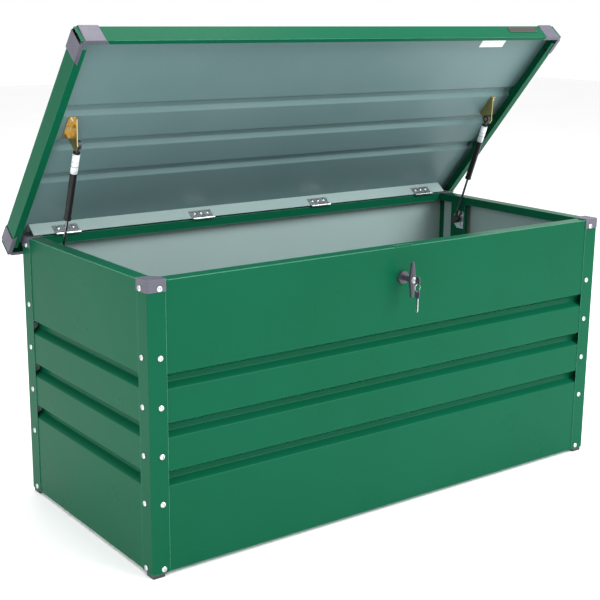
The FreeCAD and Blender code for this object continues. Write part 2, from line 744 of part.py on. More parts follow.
def lid_corner_caps():
    caps = []
    for corner, side, end in corners():
        body = new_body(f"{corner}_lid_cap")
        padded(body, lid_cap_outline(side, end, "lid_cap_wall", "lid_cap_width", "lid_cap_bevel"),
               "rim_bottom - lid_cap_wall", "lid_rim + 2 * lid_cap_wall")
        hollow = new_body(f"{corner}_lid_cap_hollow")
        x0 = f"{side} * (lid_width / 2 + lid_cap_fit)"
        y0 = f"lid_middle_y + ({end}) * (lid_depth / 2 + lid_cap_fit)"
        x1 = f"{side} * (lid_width / 2 - lid_cap_arm - 2)"
        y1 = f"lid_middle_y + ({end}) * (lid_depth / 2 - lid_cap_arm - 2)"
        padded(hollow, [(x0, y0), (x1, y0), (x1, y1), (x0, y1)], "rim_bottom - lid_cap_fit",
               "lid_rim + 2 * lid_cap_fit")
        mouth = new_body(f"{corner}_lid_cap_mouth")
        x2 = f"{side} * (lid_width / 2 - lid_cap_foot)"
        y2 = f"lid_middle_y + ({end}) * (lid_depth / 2 - lid_cap_foot)"
        padded(mouth, [(x2, y2), (x1, y2), (x1, y1), (x2, y1)], "rim_bottom - lid_cap_wall - 1",
               "lid_cap_wall + 2")
        caps.append(cut(f"{corner}_lid_cap_shell", body, [hollow, mouth]))
    group = doc.addObject("Part::Compound", "lid_caps")
    group.Links = caps
    on_lid("lid_corner_caps", group)


def hinge_places():
    pitch = num("hinge_pitch")
    return [pitch * step for step in (-1.5, -0.5, 0.5, 1.5)]


def leaf_spots(row, level, outward):
    """Three screws on every leaf."""
    spots = []
    for middle in hinge_places():
        for step in (-1, 0, 1):
            spots.append((Vector(middle + step * num("hinge_screws"), num(row), num(level)), outward))
    return spots


def leaf_pattern(name, upright, knuckles):
    """One leaf centred on X = 0: a plate, and knuckles at the given fifths of its length."""
    fifth = "hinge_length / 5"
    clear = "hinge_split / 2"
    if upright:
        low = ("-hinge_length / 2", "hinge_y + hinge_barrel - hinge_leaf", "hinge_z")
        size = ("hinge_length", "hinge_leaf", "hinge_reach")
    else:
        low = ("-hinge_length / 2", "hinge_y", "hinge_z - hinge_barrel")
        size = ("hinge_length", "hinge_reach", "hinge_leaf")
    plate = block(f"{name}_plate", low, size)
    barrels = []
    gaps = []
    for index in range(5):
        start = f"-hinge_length / 2 + {index} * {fifth}"
        if index in knuckles:
            barrels.append(rod(f"{name}_knuckle{index}", "hinge_barrel", f"{fifth} - 2 * {clear}",
                               (f"{start} + {clear}", "hinge_y", "hinge_z"), "X"))
        else:
            gaps.append(rod(f"{name}_gap{index}", "hinge_barrel + hinge_split", f"{fifth} + 2 * {clear}",
                            (f"{start} - {clear}", "hinge_y", "hinge_z"), "X"))
    leaf = cut(name, fused(f"{name}_joined", [plate] + barrels), gaps)
    bore = rod(f"{name}_bore", "hinge_pin + hinge_fit", "hinge_length + 2",
               ("-hinge_length / 2 - 1", "hinge_y", "hinge_z"), "X")
    return cut(f"{name}_bored", leaf, [bore])


def along_x(name, pattern):
    """Copies of a piece at every hinge place."""
    shapes = []
    for middle in hinge_places():
        shape = pattern.Shape.copy()
        shape.translate(Vector(middle, 0, 0))
        shapes.append(shape)
    group = doc.addObject("Part::Feature", name)
    group.Shape = Part.makeCompound(shapes)
    return group


def hinges(lower_holes, upper_holes):
    lower = leaf_pattern("lower_leaf", False, (0, 2, 4))
    upper = leaf_pattern("upper_leaf", True, (1, 3))
    pin = rod("hinge_pin_bar", "hinge_pin", "hinge_length", ("-hinge_length / 2", "hinge_y", "hinge_z"), "X")
    doc.recompute()
    node("hinge_lower_leaves", cut("hinge_lower_leaves", along_x("lower_leaves", lower), [lower_holes]))
    node("hinge_pins", along_x("hinge_pins", pin))
    on_lid("hinge_upper_leaves", cut("hinge_upper_leaves", along_x("upper_leaves", upper), [upper_holes]))


def lid_hinge_angle(upper_holes):
    """The light angle under the lid's back edge that carries the upper leaves."""
    back = "angle_face_y + lid_wall"
    top = "lid_under - sheet_gap"
    section = [
        ("angle_face_y", "hinge_z + angle_foot"), ("angle_face_y", top),
        ("angle_face_y + angle_flange", top), ("angle_face_y + angle_flange", f"{top} - lid_wall"),
        (back, f"{top} - lid_wall"), (back, "hinge_z + angle_foot"),
    ]
    body = sheet_piece("hinge_angle_sheet", "X", section, "-lid_width / 2 + angle_side",
                       "lid_width - 2 * angle_side")
    on_lid("lid_hinge_angle", cut("lid_hinge_angle", body, [upper_holes]))


# Gas struts, drawn upright from the lower pivot, with their axis on Z.

def strut_side(name, side):
    sleeve = turned(f"{name}_tube", [
        ("strut_rod + strut_rod_fit", "strut_start"), ("strut_tube", "strut_start"),
        ("strut_tube", "strut_end"), ("0", "strut_end"), ("0", "strut_end - strut_guide"),
        ("strut_bore", "strut_end - strut_guide"), ("strut_bore", "strut_start + strut_guide"),
        ("strut_rod + strut_rod_fit", "strut_start + strut_guide"),
    ])
    on_strut(f"{name}_strut_cylinder", sleeve, side)
    piston = "strut_start + strut_guide + 2"
    bar = turned(f"{name}_rod", [
        ("0", "socket_stem"), ("strut_rod", "socket_stem"), ("strut_rod", piston),
        ("strut_piston", piston), ("strut_piston", f"{piston} + strut_guide"), ("0", f"{piston} + strut_guide"),
    ])
    on_strut(f"{name}_strut_rod", bar, side)
    top = [
        rod(f"{name}_top_eye", "socket_radius", "socket_width", ("-socket_width / 2", "0", "strut_length"), "X"),
        rod(f"{name}_top_neck", "socket_neck", "socket_top_stem", ("0", "0", "strut_end")),
    ]
    bore = rod(f"{name}_top_bore", "stud_radius + stud_fit", "socket_width + 2",
               ("-socket_width / 2 - 1", "0", "strut_length"), "X")
    on_strut(f"{name}_strut_top_socket", cut(f"{name}_top_socket", fused(f"{name}_top", top), [bore]), side)
    reach = "(strut_inset - socket_width / 2 - plate_face - stud_clear)"
    stub_x = "socket_width / 2 - 1" if side > 0 else f"-socket_width / 2 - {reach}"
    low = [
        rod(f"{name}_low_eye", "socket_radius", "socket_width", ("-socket_width / 2", "0", "0"), "X"),
        rod(f"{name}_low_neck", "socket_neck", "socket_stem", ("0", "0", "0")),
        rod(f"{name}_low_stud", "stud_radius", f"{reach} + 1", (stub_x, "0", "0"), "X"),
    ]
    on_strut(f"{name}_strut_lower_socket", fused(f"{name}_low", low), side)


def side_channel(name, side, holes):
    """An upright channel on the crests of the side panel's grooves, which carries the lower bracket."""
    base = f"{side} * (body_width / 2 - crest_inset - sheet_gap)"
    face = f"{side} * (body_width / 2 - channel_face)"
    web = f"{side} * (body_width / 2 - channel_face + channel_wall)"
    y0 = "foot_y - channel_width / 2"
    y1 = "foot_y + channel_width / 2"
    section = [
        (base, y0), (face, y0), (face, y1), (base, y1), (base, f"{y1} - channel_wall"),
        (web, f"{y1} - channel_wall"), (web, f"{y0} + channel_wall"), (base, f"{y0} + channel_wall"),
    ]
    start = "floor_top + floor_rib + sheet_gap"
    body = sheet_piece(f"{name}_channel_sheet", "Z", section, start, f"panel_top - ({start})")
    node(f"{name}_strut_channel", cut(f"{name}_strut_channel", body, [holes]))


def lower_bracket(name, side, holes):
    outer = f"{side} * (body_width / 2 - channel_face - sheet_gap)"
    low_x = outer if side < 0 else f"{outer} - bracket_wall"
    y0 = "foot_y - bracket_low_front"
    y1 = "foot_y + bracket_low_back"
    z0 = "foot_z - bracket_low_height / 2"
    z1 = "foot_z + bracket_low_height / 2"
    cut_off = "bracket_low_back"
    section = [
        (y0, z0), (f"{y1} - {cut_off}", z0), (y1, f"{z0} + {cut_off}"), (y1, f"{z1} - {cut_off}"),
        (f"{y1} - {cut_off}", z1), (y0, z1),
    ]
    body = sheet_piece(f"{name}_low_plate", "X", section, low_x, "bracket_wall")
    node(f"{name}_lower_bracket", cut(f"{name}_lower_bracket", body, [holes]))


def bracket_spots():
    """Two screws on each lower bracket, ahead of the pivot, heads towards the inside."""
    spots = []
    face = num("body_width / 2 - plate_face")
    for side in (-1, 1):
        for turn in (-1, 1):
            place = Vector(side * face, num("foot_y - bracket_screw_ahead"),
                           num("foot_z") + turn * num("bracket_screw_rise"))
            spots.append((place, Vector(-side, 0, 0)))
    return spots


def upper_bracket(name, side, holes):
    """An angle under the lid panel, whose cheek carries the strut's upper stud."""
    outer = f"{side} * (body_width / 2 - cheek_face)"
    low_x = outer if side < 0 else f"{outer} - bracket_wall"
    top = "lid_under - sheet_gap"
    front = "stud_y - bracket_ahead"
    section = [
        (front, top), (front, f"{top} - bracket_toe"),
        ("stud_y - bracket_eye", "stud_z - bracket_eye / 2"), ("stud_y - bracket_eye / 2", "stud_z - bracket_eye"),
        ("stud_y + bracket_eye / 2", "stud_z - bracket_eye"), ("stud_y + bracket_eye", "stud_z - bracket_eye / 2"),
        ("stud_y + bracket_eye", top),
    ]
    plate = sheet_piece(f"{name}_cheek", "X", section, low_x, "bracket_wall")
    foot_x = f"{outer} - bracket_flange" if side < 0 else outer
    foot = block(f"{name}_bracket_foot", (foot_x, front, f"{top} - bracket_wall"),
                 ("bracket_flange", "bracket_ahead + bracket_eye", "bracket_wall"))
    stud_length = "bracket_wall + stud_clear + socket_width + 1"
    stud_x = outer if side < 0 else f"{outer} - ({stud_length})"
    stud = rod(f"{name}_stud", "stud_radius", stud_length, (stud_x, "stud_y", "stud_z"), "X")
    angle = fused(f"{name}_bracket", [plate, foot, stud])
    on_lid(f"{name}_upper_bracket", cut(f"{name}_bracket_bored", angle, [holes]))


def lid_bracket_spots():
    """Two screws through the lid panel into each upper bracket, heads on top."""
    across = num("body_width / 2 - cheek_face + bracket_flange / 2")
    first = num("stud_y - bracket_ahead + bracket_margin")
    places = (first, first + num("bracket_pitch"))
    return [(Vector(side * across, place, num("lid_over")), Vector(0, 0, 1)) for side in (-1, 1) for place in places]


# The lock: collar, barrel and nut in the wall, a bar handle with its cam, a key, a ring and a spare key.

def lock_fixed(lock_hole):
    plate = block("lock_plate_sheet", ("-lock_plate_width / 2", "lock_plate_y", "lock_z - lock_plate_drop"),
                  ("lock_plate_width", "lock_plate_wall", "post_top + lock_plate_rise - lock_z + lock_plate_drop"))
    node("lock_plate", cut("lock_plate", plate, [lock_hole]))
    collar = rod("lock_collar", "lock_collar", "lock_collar_wall", ("0", "collar_y", "lock_z"), "Y")
    barrel = rod("lock_sleeve", "lock_barrel", "barrel_back_y - collar_y", ("0", "collar_y", "lock_z"), "Y")
    bore = rod("lock_bore", "lock_bore", "barrel_back_y - collar_y + 2", ("0", "collar_y - 1", "lock_z"), "Y")
    node("lock_barrel", cut("lock_barrel", fused("lock_barrel_blank", [collar, barrel]), [bore]))
    hexagon = doc.addObject("Part::Prism", "lock_nut_hexagon")
    hexagon.Polygon = 6
    hexagon.Placement = Placement(Vector(), POINTING["Y"])
    bind(hexagon, Circumradius="lock_nut_radius", Height="lock_nut_height",
         Placement__Base__y="lock_plate_y + lock_plate_wall + sheet_gap", Placement__Base__z="lock_z")
    node("lock_nut", cut("lock_nut", hexagon, [lock_hole]))


def lock_moving():
    """Spindle, cam and handle. The cam points left at rest and swings upwards."""
    tail = "cam_y + cam_wall + spindle_tail"
    front = "collar_y - neck_gap"
    spindle = rod("spindle", "spindle_radius", f"{tail} - ({front})", ("0", front, "lock_z"), "Y")
    square = block("spindle_square", ("-spindle_radius * 0.75", "cam_y", "lock_z - spindle_radius * 0.75"),
                   ("spindle_radius * 1.5", "cam_wall", "spindle_radius * 1.5"))
    flats = block("spindle_flats", ("-spindle_radius - 1", "cam_y", "lock_z - spindle_radius - 1"),
                  ("2 * spindle_radius + 2", "cam_wall", "2 * spindle_radius + 2"))
    trimmed = cut("spindle_trimmed", spindle, [cut("spindle_ring", flats, [square])])
    node("lock_spindle", trimmed)
    section = [
        ("-cam_reach", "lock_z - cam_back"), ("-cam_reach", "lock_z + cam_hook"),
        ("-cam_throat", "lock_z + cam_hook"), ("-cam_throat", "lock_z - 2"),
        ("-cam_arm", "lock_z + cam_arm / 2"), ("cam_arm / 2", "lock_z + cam_arm / 2"),
        ("cam_arm / 2", "lock_z - cam_back"),
    ]
    cam = sheet_piece("cam_sheet", "Y", section, "cam_y", "cam_wall")
    hole = block("cam_hole", ("-spindle_radius * 0.75", "cam_y - 1", "lock_z - spindle_radius * 0.75"),
                 ("spindle_radius * 1.5", "cam_wall + 2", "spindle_radius * 1.5"))
    node("lock_cam", cut("lock_cam", cam, [hole]))
    section = [
        ("-handle_tip", "lock_z - handle_half"), ("handle_tip", "lock_z - handle_half"),
        ("handle_middle", "lock_z - handle_middle"), ("handle_middle", "lock_z + handle_middle"),
        ("handle_tip", "lock_z + handle_half"), ("-handle_tip", "lock_z + handle_half"),
        ("-handle_middle", "lock_z + handle_middle"), ("-handle_middle", "lock_z - handle_middle"),
    ]
    body = new_body("handle_bar", "Y")
    pad = padded(body, section, "bar_front_y", "handle_wall", "Y")
    rounded(body, pad, "handle_tip - 1", lambda edge: True)
    neck = rod("handle_neck", "neck_radius", f"{front} - bar_back_y + 1", ("0", "bar_back_y - 1", "lock_z"), "Y")
    pocket = rod("handle_pocket", "plug_radius + plug_fit", "plug_depth + 1", ("0", "bar_front_y - 1", "lock_z"), "Y")
    node("lock_handle", cut("lock_handle", fused("handle_blank", [body, neck]), [pocket]))


def bow(name, hole_z, middle_z):
    """A key's bow, seen from the side an octagon, and the pin that bores its hole."""
    wide = "key_bow_half"
    near_y = "key_bow_half * 0.45"
    near_z = "key_bow * 0.45"
    section = [
        (f"bow_y - {wide}", f"{middle_z} - {near_z}"), (f"bow_y - {wide}", f"{middle_z} + {near_z}"),
        (f"bow_y - {near_y}", f"{middle_z} + key_bow"), (f"bow_y + {near_y}", f"{middle_z} + key_bow"),
        (f"bow_y + {wide}", f"{middle_z} + {near_z}"), (f"bow_y + {wide}", f"{middle_z} - {near_z}"),
        (f"bow_y + {near_y}", f"{middle_z} - key_bow"), (f"bow_y - {near_y}", f"{middle_z} - key_bow"),
    ]
    body = sheet_piece(f"{name}_bow", "X", section, "-key_wall / 2", "key_wall")
    pin = rod(f"{name}_hole", "key_hole", "key_wall + 2", ("-key_wall / 2 - 1", "bow_y", hole_z), "X")
    return body, pin


def keys():
    plug = rod("plug", "plug_radius", "plug_depth + plug_face", ("0", "plug_front_y", "lock_z"), "Y")
    node("key_cylinder", plug)
    body, hole = bow("key", "bow_hole_z", "lock_z")
    shank = block("key_shank", ("-blade_wall / 2", "plug_front_y - key_shank - 1", "lock_z - blade_width / 2"),
                  ("blade_wall", "key_shank + 1", "blade_width"))
    node("key", cut("key", fused("key_blank", [body, shank]), [hole]))
    ring = doc.addObject("Part::Torus", "ring")
    ring.Placement = Placement(Vector(), POINTING["Y"])
    bind(ring, Radius1="ring_radius - ring_wire", Radius2="ring_wire",
         Placement__Base__y="bow_y", Placement__Base__z="ring_z")
    node("key_ring", ring)
    body, hole = bow("spare", "spare_hole_z", "spare_z")
    blade = block("spare_blade", ("-blade_wall / 2", "bow_y - blade_width / 2", "spare_z - key_bow - blade_length"),
                  ("blade_wall", "blade_width", "blade_length + 1"))
    node("spare_key", cut("spare_key", fused("spare_blank", [body, blade]), [hole]))


def check_and_write():
    doc.recompute()
    for thing in doc.Objects:
        if "Invalid" in thing.State or "Error" in thing.State:
            raise SystemExit(f"{thing.Label} failed: {thing.State}")
    os.makedirs("parts", exist_ok=True)
    for thing in nodes:
        shape = thing.Shape
        if shape.isNull() or not shape.isValid() or not shape.Solids:
            raise SystemExit(f"{thing.Label} has no valid solid")
    for thing in nodes:
        thing.Shape.exportStep(os.path.join("parts", f"{thing.Label}.step"))
    print(len(nodes), "sub-parts written")


def build():
    fill_sheet()
    wall_screw = screw_pattern("wall_screw", "screw_radius", "screw_length", "screw_head", "screw_dome")
    wall_nut = nut_pattern("wall_nut", "nut_radius", "nut_height", "nut_bore")
    small_screw = screw_pattern("small_screw", "small_radius", "small_length", "small_head", "small_dome")
    small_nut = nut_pattern("small_nut", "small_nut", "small_nut_height", "small_nut_bore")
    doc.recompute()

    walls = wall_spots()
    caps = post_spots([num("cap_roof - cap_screw_drop")], num("cap_wall"))
    under_feet = foot_spots()
    brackets = bracket_spots()
    lower_row = leaf_spots("hinge_y + hinge_row", "hinge_z - hinge_barrel + hinge_leaf", Vector(0, 0, 1))
    lid_brackets = lid_bracket_spots()
    upper_row = leaf_spots("hinge_y + hinge_barrel - hinge_leaf", "hinge_z + hinge_row + 2", Vector(0, -1, 0))

    wall_holes = hole_pins("wall_holes", "hole_radius", walls, 1, num("screw_length"))
    cap_holes = hole_pins("cap_holes", "hole_radius", caps, 1, num("screw_length"))
    both_holes = hole_pins("both_holes", "hole_radius", walls + caps, 1, num("screw_length"))
    floor_holes = hole_pins("floor_holes", "hole_radius", under_feet, 1, num("foot_height + 3"))
    channel_holes = hole_pins("channel_holes", "small_hole", brackets, 1, num("small_length"))
    lower_holes = hole_pins("lower_holes", "small_hole", lower_row, 1, num("small_length"))
    upper_holes = hole_pins("upper_holes", "small_hole", upper_row, 1, num("small_length"))
    bracket_holes = hole_pins("bracket_holes", "small_hole", lid_brackets, 1, num("small_length"))
    lock_hole = rod("lock_hole_pin", "lock_hole", "4 * lock_barrel", ("0", "-body_depth / 2 - 2 * lock_barrel",
                                                                     "lock_z"), "Y")

    wall_panels(both_holes, lock_hole)
    floor_pieces(floor_holes)
    posts_and_caps(wall_holes, cap_holes)
    feet(floor_holes)
    top_rails(lower_holes)

    wall_stack = num("panel_inset + panel_wall + sheet_gap + nut_height")
    cap_stack = wall_stack + num("cap_wall")
    node("wall_screws", copies("wall_screws", wall_screw, walls + caps))
    node("wall_nuts", copies("wall_nuts", wall_nut, shifted(walls, -wall_stack) + shifted(caps, -cap_stack)))
    node("foot_screws", copies("foot_screws", wall_screw, under_feet))

    hinges(lower_holes, upper_holes)
    lid_hinge_angle(upper_holes)
    lower_stack = num("hinge_leaf + rail_wall + sheet_gap + small_nut_height")
    plate_stack = num("bracket_wall + channel_wall + 2 * sheet_gap + small_nut_height")
    upper_stack = num("hinge_leaf + lid_wall + 2 * sheet_gap + small_nut_height")
    node("box_small_screws", copies("box_small_screws", small_screw, lower_row + brackets))
    node("box_small_nuts", copies("box_small_nuts", small_nut,
                                  shifted(lower_row, -lower_stack) + shifted(brackets, -plate_stack)))
    panel_stack = num("lid_sheet + bracket_wall + 2 * sheet_gap + small_nut_height")
    on_lid("lid_small_screws", copies("lid_screw_copies", small_screw, upper_row + lid_brackets))
    on_lid("lid_small_nuts", copies("lid_nut_copies", small_nut,
                                    shifted(upper_row, -upper_stack) + shifted(lid_brackets, -panel_stack)))

    lid_sheets(bracket_holes)
    lid_corner_caps()
    for name, side in (("left", -1), ("right", 1)):
        side_channel(name, side, channel_holes)
        lower_bracket(name, side, channel_holes)
        upper_bracket(name, side, bracket_holes)
        strut_side(name, side)
    lock_fixed(lock_hole)
    lock_moving()
    keys()
    check_and_write()


build()
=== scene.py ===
import json
import math
import bmesh
import bpy
from mathutils import Matrix, Vector


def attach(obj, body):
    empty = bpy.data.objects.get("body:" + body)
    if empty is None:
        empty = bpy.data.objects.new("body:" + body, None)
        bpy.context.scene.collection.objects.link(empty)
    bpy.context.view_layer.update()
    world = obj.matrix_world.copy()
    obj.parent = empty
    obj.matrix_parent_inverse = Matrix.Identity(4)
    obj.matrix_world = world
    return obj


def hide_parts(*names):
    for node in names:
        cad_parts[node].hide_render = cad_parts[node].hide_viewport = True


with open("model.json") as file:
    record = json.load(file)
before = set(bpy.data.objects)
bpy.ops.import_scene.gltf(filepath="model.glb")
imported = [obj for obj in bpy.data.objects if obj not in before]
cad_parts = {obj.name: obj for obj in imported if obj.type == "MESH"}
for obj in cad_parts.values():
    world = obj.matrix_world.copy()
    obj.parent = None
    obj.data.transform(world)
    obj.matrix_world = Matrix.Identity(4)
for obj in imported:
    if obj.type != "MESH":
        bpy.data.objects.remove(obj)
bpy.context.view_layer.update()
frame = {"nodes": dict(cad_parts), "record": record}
nodeBody = {node: body for body, nodes in frame["record"]["behaviour"]["bodies"].items() for node in nodes}
nodeSlot = {entry["node"]: entry["material_slot"] for entry in frame["record"]["subparts"]}

view = {
    "place": (-1.6863, -2.1816, 1.0966),
    "forward": (0.5787, 0.7805, -0.2364),
    "roll": 0.568,  # degrees
    "lens": 71.7,
}
lid = {
    "hinge": Vector((0, 0.245, 0.6056)),
    "open": 50,
    "front": -0.309,
    "under": 0.6432,
}
strut = {
    "foot": Vector((0, 0.176, 0.539)),
    "lean": 20.4,
    "side": 0.5895,
    "tube": 0.0075,
    "label": (0.236, 0.281),
}
handle = {
    "z": 0.534,
    "front": -0.3174,
    "back": -0.3064,
    "neckEnd": -0.2858,
    "half": 0.04,  # half the bar's length
    "middle": 0.008,  # half its width in the middle
    "tip": 0.0036,
    "neck": 0.006,
}
keySizes = {
    "y": -0.3294,
    "tall": 0.01,  # half the bow
    "wide": 0.007,
    "thick": 0.0024,
    "hole": 0.0026,
    "keyZ": 0.534,
    "keyHoleZ": 0.5285,
    "spareZ": 0.5056,
    "spareHoleZ": 0.5111,
    "bladeLength": 0.03,
    "bladeWidth": 0.006,
    "ringZ": 0.5198,
    "ringRadius": 0.0072,
    "ringWire": 0.00042,
}
screws = {
    "wallHead": 0.006,
    "wallDome": 0.0032,
    "wallShank": 0.00295,
    "wallLength": 0.01,
    "smallHead": 0.0039,
    "smallDome": 0.0018,
    "smallShank": 0.00195,
    "smallLength": 0.008,
    "inset": 0.0257,  # from the post's outer face
    "levels": (0.0176, 0.1545, 0.2535, 0.3525, 0.4515),
    "capLevel": 0.587,
    "capProud": 0.0015,
    "halfWidth": 0.6305,
    "halfDepth": 0.281,
}
hinges = {
    "places": (-0.534, -0.178, 0.178, 0.534),
    "screwPitch": 0.018,
    "lowerRow": (0.261, 0.6039),
    "upperRow": (0.2467, 0.6236),
}
lidMarks = {
    "badge": ((0.492, 0.588), (0.6325, 0.6495), 0.0012),  # across, up, thickness
    "sticker": ((0.432, 0.512), (-0.2745, -0.2525), 0.0003),  # across, along the lid, thickness
}


def placeCamera():
    cameraData = bpy.data.cameras.new("photoCamera")
    cameraData.lens = view["lens"]
    cameraData.sensor_width = 36
    camera = bpy.data.objects.new("photoCamera", cameraData)
    bpy.context.scene.collection.objects.link(camera)
    forward = Vector(view["forward"]).normalized()
    flatRight = forward.cross(Vector((0, 0, 1))).normalized()
    flatUp = flatRight.cross(forward)
    roll = math.radians(view["roll"])
    right = flatRight * math.cos(roll) + flatUp * math.sin(roll)
    up = right.cross(forward)
    turn = Matrix((right, up, -forward)).transposed().to_4x4()
    camera.matrix_world = Matrix.Translation(view["place"]) @ turn
    bpy.context.scene.camera = camera


def newTree(name):
    material = bpy.data.materials.new(name)
    material.use_nodes = True
    tree = material.node_tree
    shader = tree.nodes["Principled BSDF"]
    return material, tree, shader


def addNode(tree, kind, **sockets):
    node = tree.nodes.new(kind)
    for key, value in sockets.items():
        node.inputs[key.replace("_", " ")].default_value = value
    return node


def mathNode(tree, operation, first, second=None):
    node = tree.nodes.new("ShaderNodeMath")
    node.operation = operation
    for socket, value in zip(node.inputs, (first, second)):
        if isinstance(value, (int, float)):
            socket.default_value = value
        elif value is not None:
            tree.links.new(value, socket)
    return node.outputs[0]


def mixColour(tree, factor, first, second):
    node = tree.nodes.new("ShaderNodeMix")
    node.data_type = "RGBA"
    for socket, value in ((node.inputs[0], factor), (node.inputs[6], first), (node.inputs[7], second)):
        if isinstance(value, bpy.types.NodeSocket):
            tree.links.new(value, socket)
        elif isinstance(value, (int, float)):
            socket.default_value = value
        else:
            socket.default_value = (*value, 1)
    return node.outputs[2]


def newGroup(name, inputs, output):
    group = bpy.data.node_groups.new(name, "ShaderNodeTree")
    for label, kind, value in inputs:
        socket = group.interface.new_socket(label, in_out="INPUT", socket_type=kind)
        if value is not None:
            socket.default_value = value
    group.interface.new_socket(output[0], in_out="OUTPUT", socket_type=output[1])
    return group, group.nodes.new("NodeGroupInput"), group.nodes.new("NodeGroupOutput")


def makeMottle():
    group, given, result = newGroup("mottle", (
        ("Vector", "NodeSocketVector", None), ("Scale", "NodeSocketFloat", 10.0),
        ("Low", "NodeSocketFloat", 0.0), ("High", "NodeSocketFloat", 1.0),
    ), ("Value", "NodeSocketFloat"))
    noise = addNode(group, "ShaderNodeTexNoise", Detail=5.0, Roughness=0.6)
    group.links.new(given.outputs["Vector"], noise.inputs["Vector"])
    group.links.new(given.outputs["Scale"], noise.inputs["Scale"])
    spread = group.nodes.new("ShaderNodeMapRange")
    spread.inputs["From Min"].default_value = 0.3
    spread.inputs["From Max"].default_value = 0.7
    group.links.new(noise.outputs["Fac"], spread.inputs["Value"])
    group.links.new(given.outputs["Low"], spread.inputs["To Min"])
    group.links.new(given.outputs["High"], spread.inputs["To Max"])
    group.links.new(spread.outputs["Result"], result.inputs["Value"])
    return group


def makeEdges():
    group, given, result = newGroup("edges", (
        ("Vector", "NodeSocketVector", None), ("Radius", "NodeSocketFloat", 0.001),
        ("Break", "NodeSocketFloat", 120.0),
    ), ("Mask", "NodeSocketFloat"))
    soft = group.nodes.new("ShaderNodeBevel")
    soft.samples = 4
    group.links.new(given.outputs["Radius"], soft.inputs["Radius"])
    flat = group.nodes.new("ShaderNodeNewGeometry")
    dot = group.nodes.new("ShaderNodeVectorMath")
    dot.operation = "DOT_PRODUCT"
    group.links.new(soft.outputs["Normal"], dot.inputs[0])
    group.links.new(flat.outputs["Normal"], dot.inputs[1])
    away = mathNode(group, "SUBTRACT", 1.0, dot.outputs["Value"])
    sharp = mathNode(group, "MULTIPLY", away, 6.0)
    noise = addNode(group, "ShaderNodeTexNoise", Detail=4.0)
    group.links.new(given.outputs["Vector"], noise.inputs["Vector"])
    group.links.new(given.outputs["Break"], noise.inputs["Scale"])
    broken = mathNode(group, "MULTIPLY", sharp, noise.outputs["Fac"])
    node = group.nodes.new("ShaderNodeClamp")
    group.links.new(broken, node.inputs["Value"])
    group.links.new(node.outputs["Result"], result.inputs["Mask"])
    return group


def makeGrainBump():
    group, given, result = newGroup("grainBump", (
        ("Vector", "NodeSocketVector", None), ("Scale", "NodeSocketFloat", 800.0),
        ("Depth", "NodeSocketFloat", 0.00005), ("Wave Scale", "NodeSocketFloat", 4.0),
        ("Wave Depth", "NodeSocketFloat", 0.0005),
    ), ("Normal", "NodeSocketVector"))
    fine = addNode(group, "ShaderNodeTexNoise", Detail=3.0)
    broad = addNode(group, "ShaderNodeTexNoise", Detail=1.0)
    group.links.new(given.outputs["Vector"], fine.inputs["Vector"])
    group.links.new(given.outputs["Vector"], broad.inputs["Vector"])
    group.links.new(given.outputs["Scale"], fine.inputs["Scale"])
    group.links.new(given.outputs["Wave Scale"], broad.inputs["Scale"])
    waves = group.nodes.new("ShaderNodeBump")
    grain = group.nodes.new("ShaderNodeBump")
    group.links.new(broad.outputs["Fac"], waves.inputs["Height"])
    group.links.new(given.outputs["Wave Depth"], waves.inputs["Distance"])
    group.links.new(fine.outputs["Fac"], grain.inputs["Height"])
    group.links.new(given.outputs["Depth"], grain.inputs["Distance"])
    group.links.new(waves.outputs["Normal"], grain.inputs["Normal"])
    group.links.new(grain.outputs["Normal"], result.inputs["Normal"])
    return group


mottle = makeMottle()
edges = makeEdges()
grainBump = makeGrainBump()


def useGroup(tree, group, vector, **sockets):
    node = tree.nodes.new("ShaderNodeGroup")
    node.node_tree = group
    tree.links.new(vector, node.inputs["Vector"])
    for key, value in sockets.items():
        node.inputs[key.replace("_", " ")].default_value = value
    return node.outputs[0]


def finish(name, look):
    material, tree, shader = newTree(name)
    place = tree.nodes.new("ShaderNodeTexCoord").outputs["Object"]
    if "stretch" in look:
        mapping = addNode(tree, "ShaderNodeMapping", Scale=look["stretch"])
        tree.links.new(place, mapping.inputs["Vector"])
        grainPlace = mapping.outputs["Vector"]
    else:
        grainPlace = place
    clouds = useGroup(tree, mottle, grainPlace, Scale=look["cloudScale"])
    colour = mixColour(tree, clouds, look["colour"], look["shade"])
    specks = useGroup(tree, mottle, place, Scale=look["speckScale"], Low=0.0, High=look["speckAmount"])
    colour = mixColour(tree, specks, colour, look["speck"])
    # edge mask tints edges toward the look's edge colour: partly rubbed wear, partly a painted highlight,
    # strongest as the mint highlight on the green sheet's rims and groove edges
    edgeWearAndHighlight = useGroup(tree, edges, place, Radius=look["edgeRadius"], Break=look["edgeBreak"])
    edgeWearAndHighlightAmount = mathNode(tree, "MULTIPLY", edgeWearAndHighlight, look["edgeAmount"])
    colour = mixColour(tree, edgeWearAndHighlightAmount, colour, look["edge"])
    tree.links.new(colour, shader.inputs["Base Color"])
    rough = useGroup(tree, mottle, grainPlace, Scale=look["roughScale"], Low=look["rough"][0],
                     High=look["rough"][1])
    tree.links.new(rough, shader.inputs["Roughness"])
    normal = useGroup(tree, grainBump, grainPlace, Scale=look["grainScale"], Depth=look["grainDepth"],
                      Wave_Scale=look["waveScale"], Wave_Depth=look["waveDepth"])
    tree.links.new(normal, shader.inputs["Normal"])
    shader.inputs["Metallic"].default_value = look.get("metallic", 0.0)
    shader.inputs["Coat Weight"].default_value = look.get("coat", 0.0)
    shader.inputs["Coat Roughness"].default_value = 0.12
    shader.inputs["Specular IOR Level"].default_value = look.get("specular", 0.5)
    return material


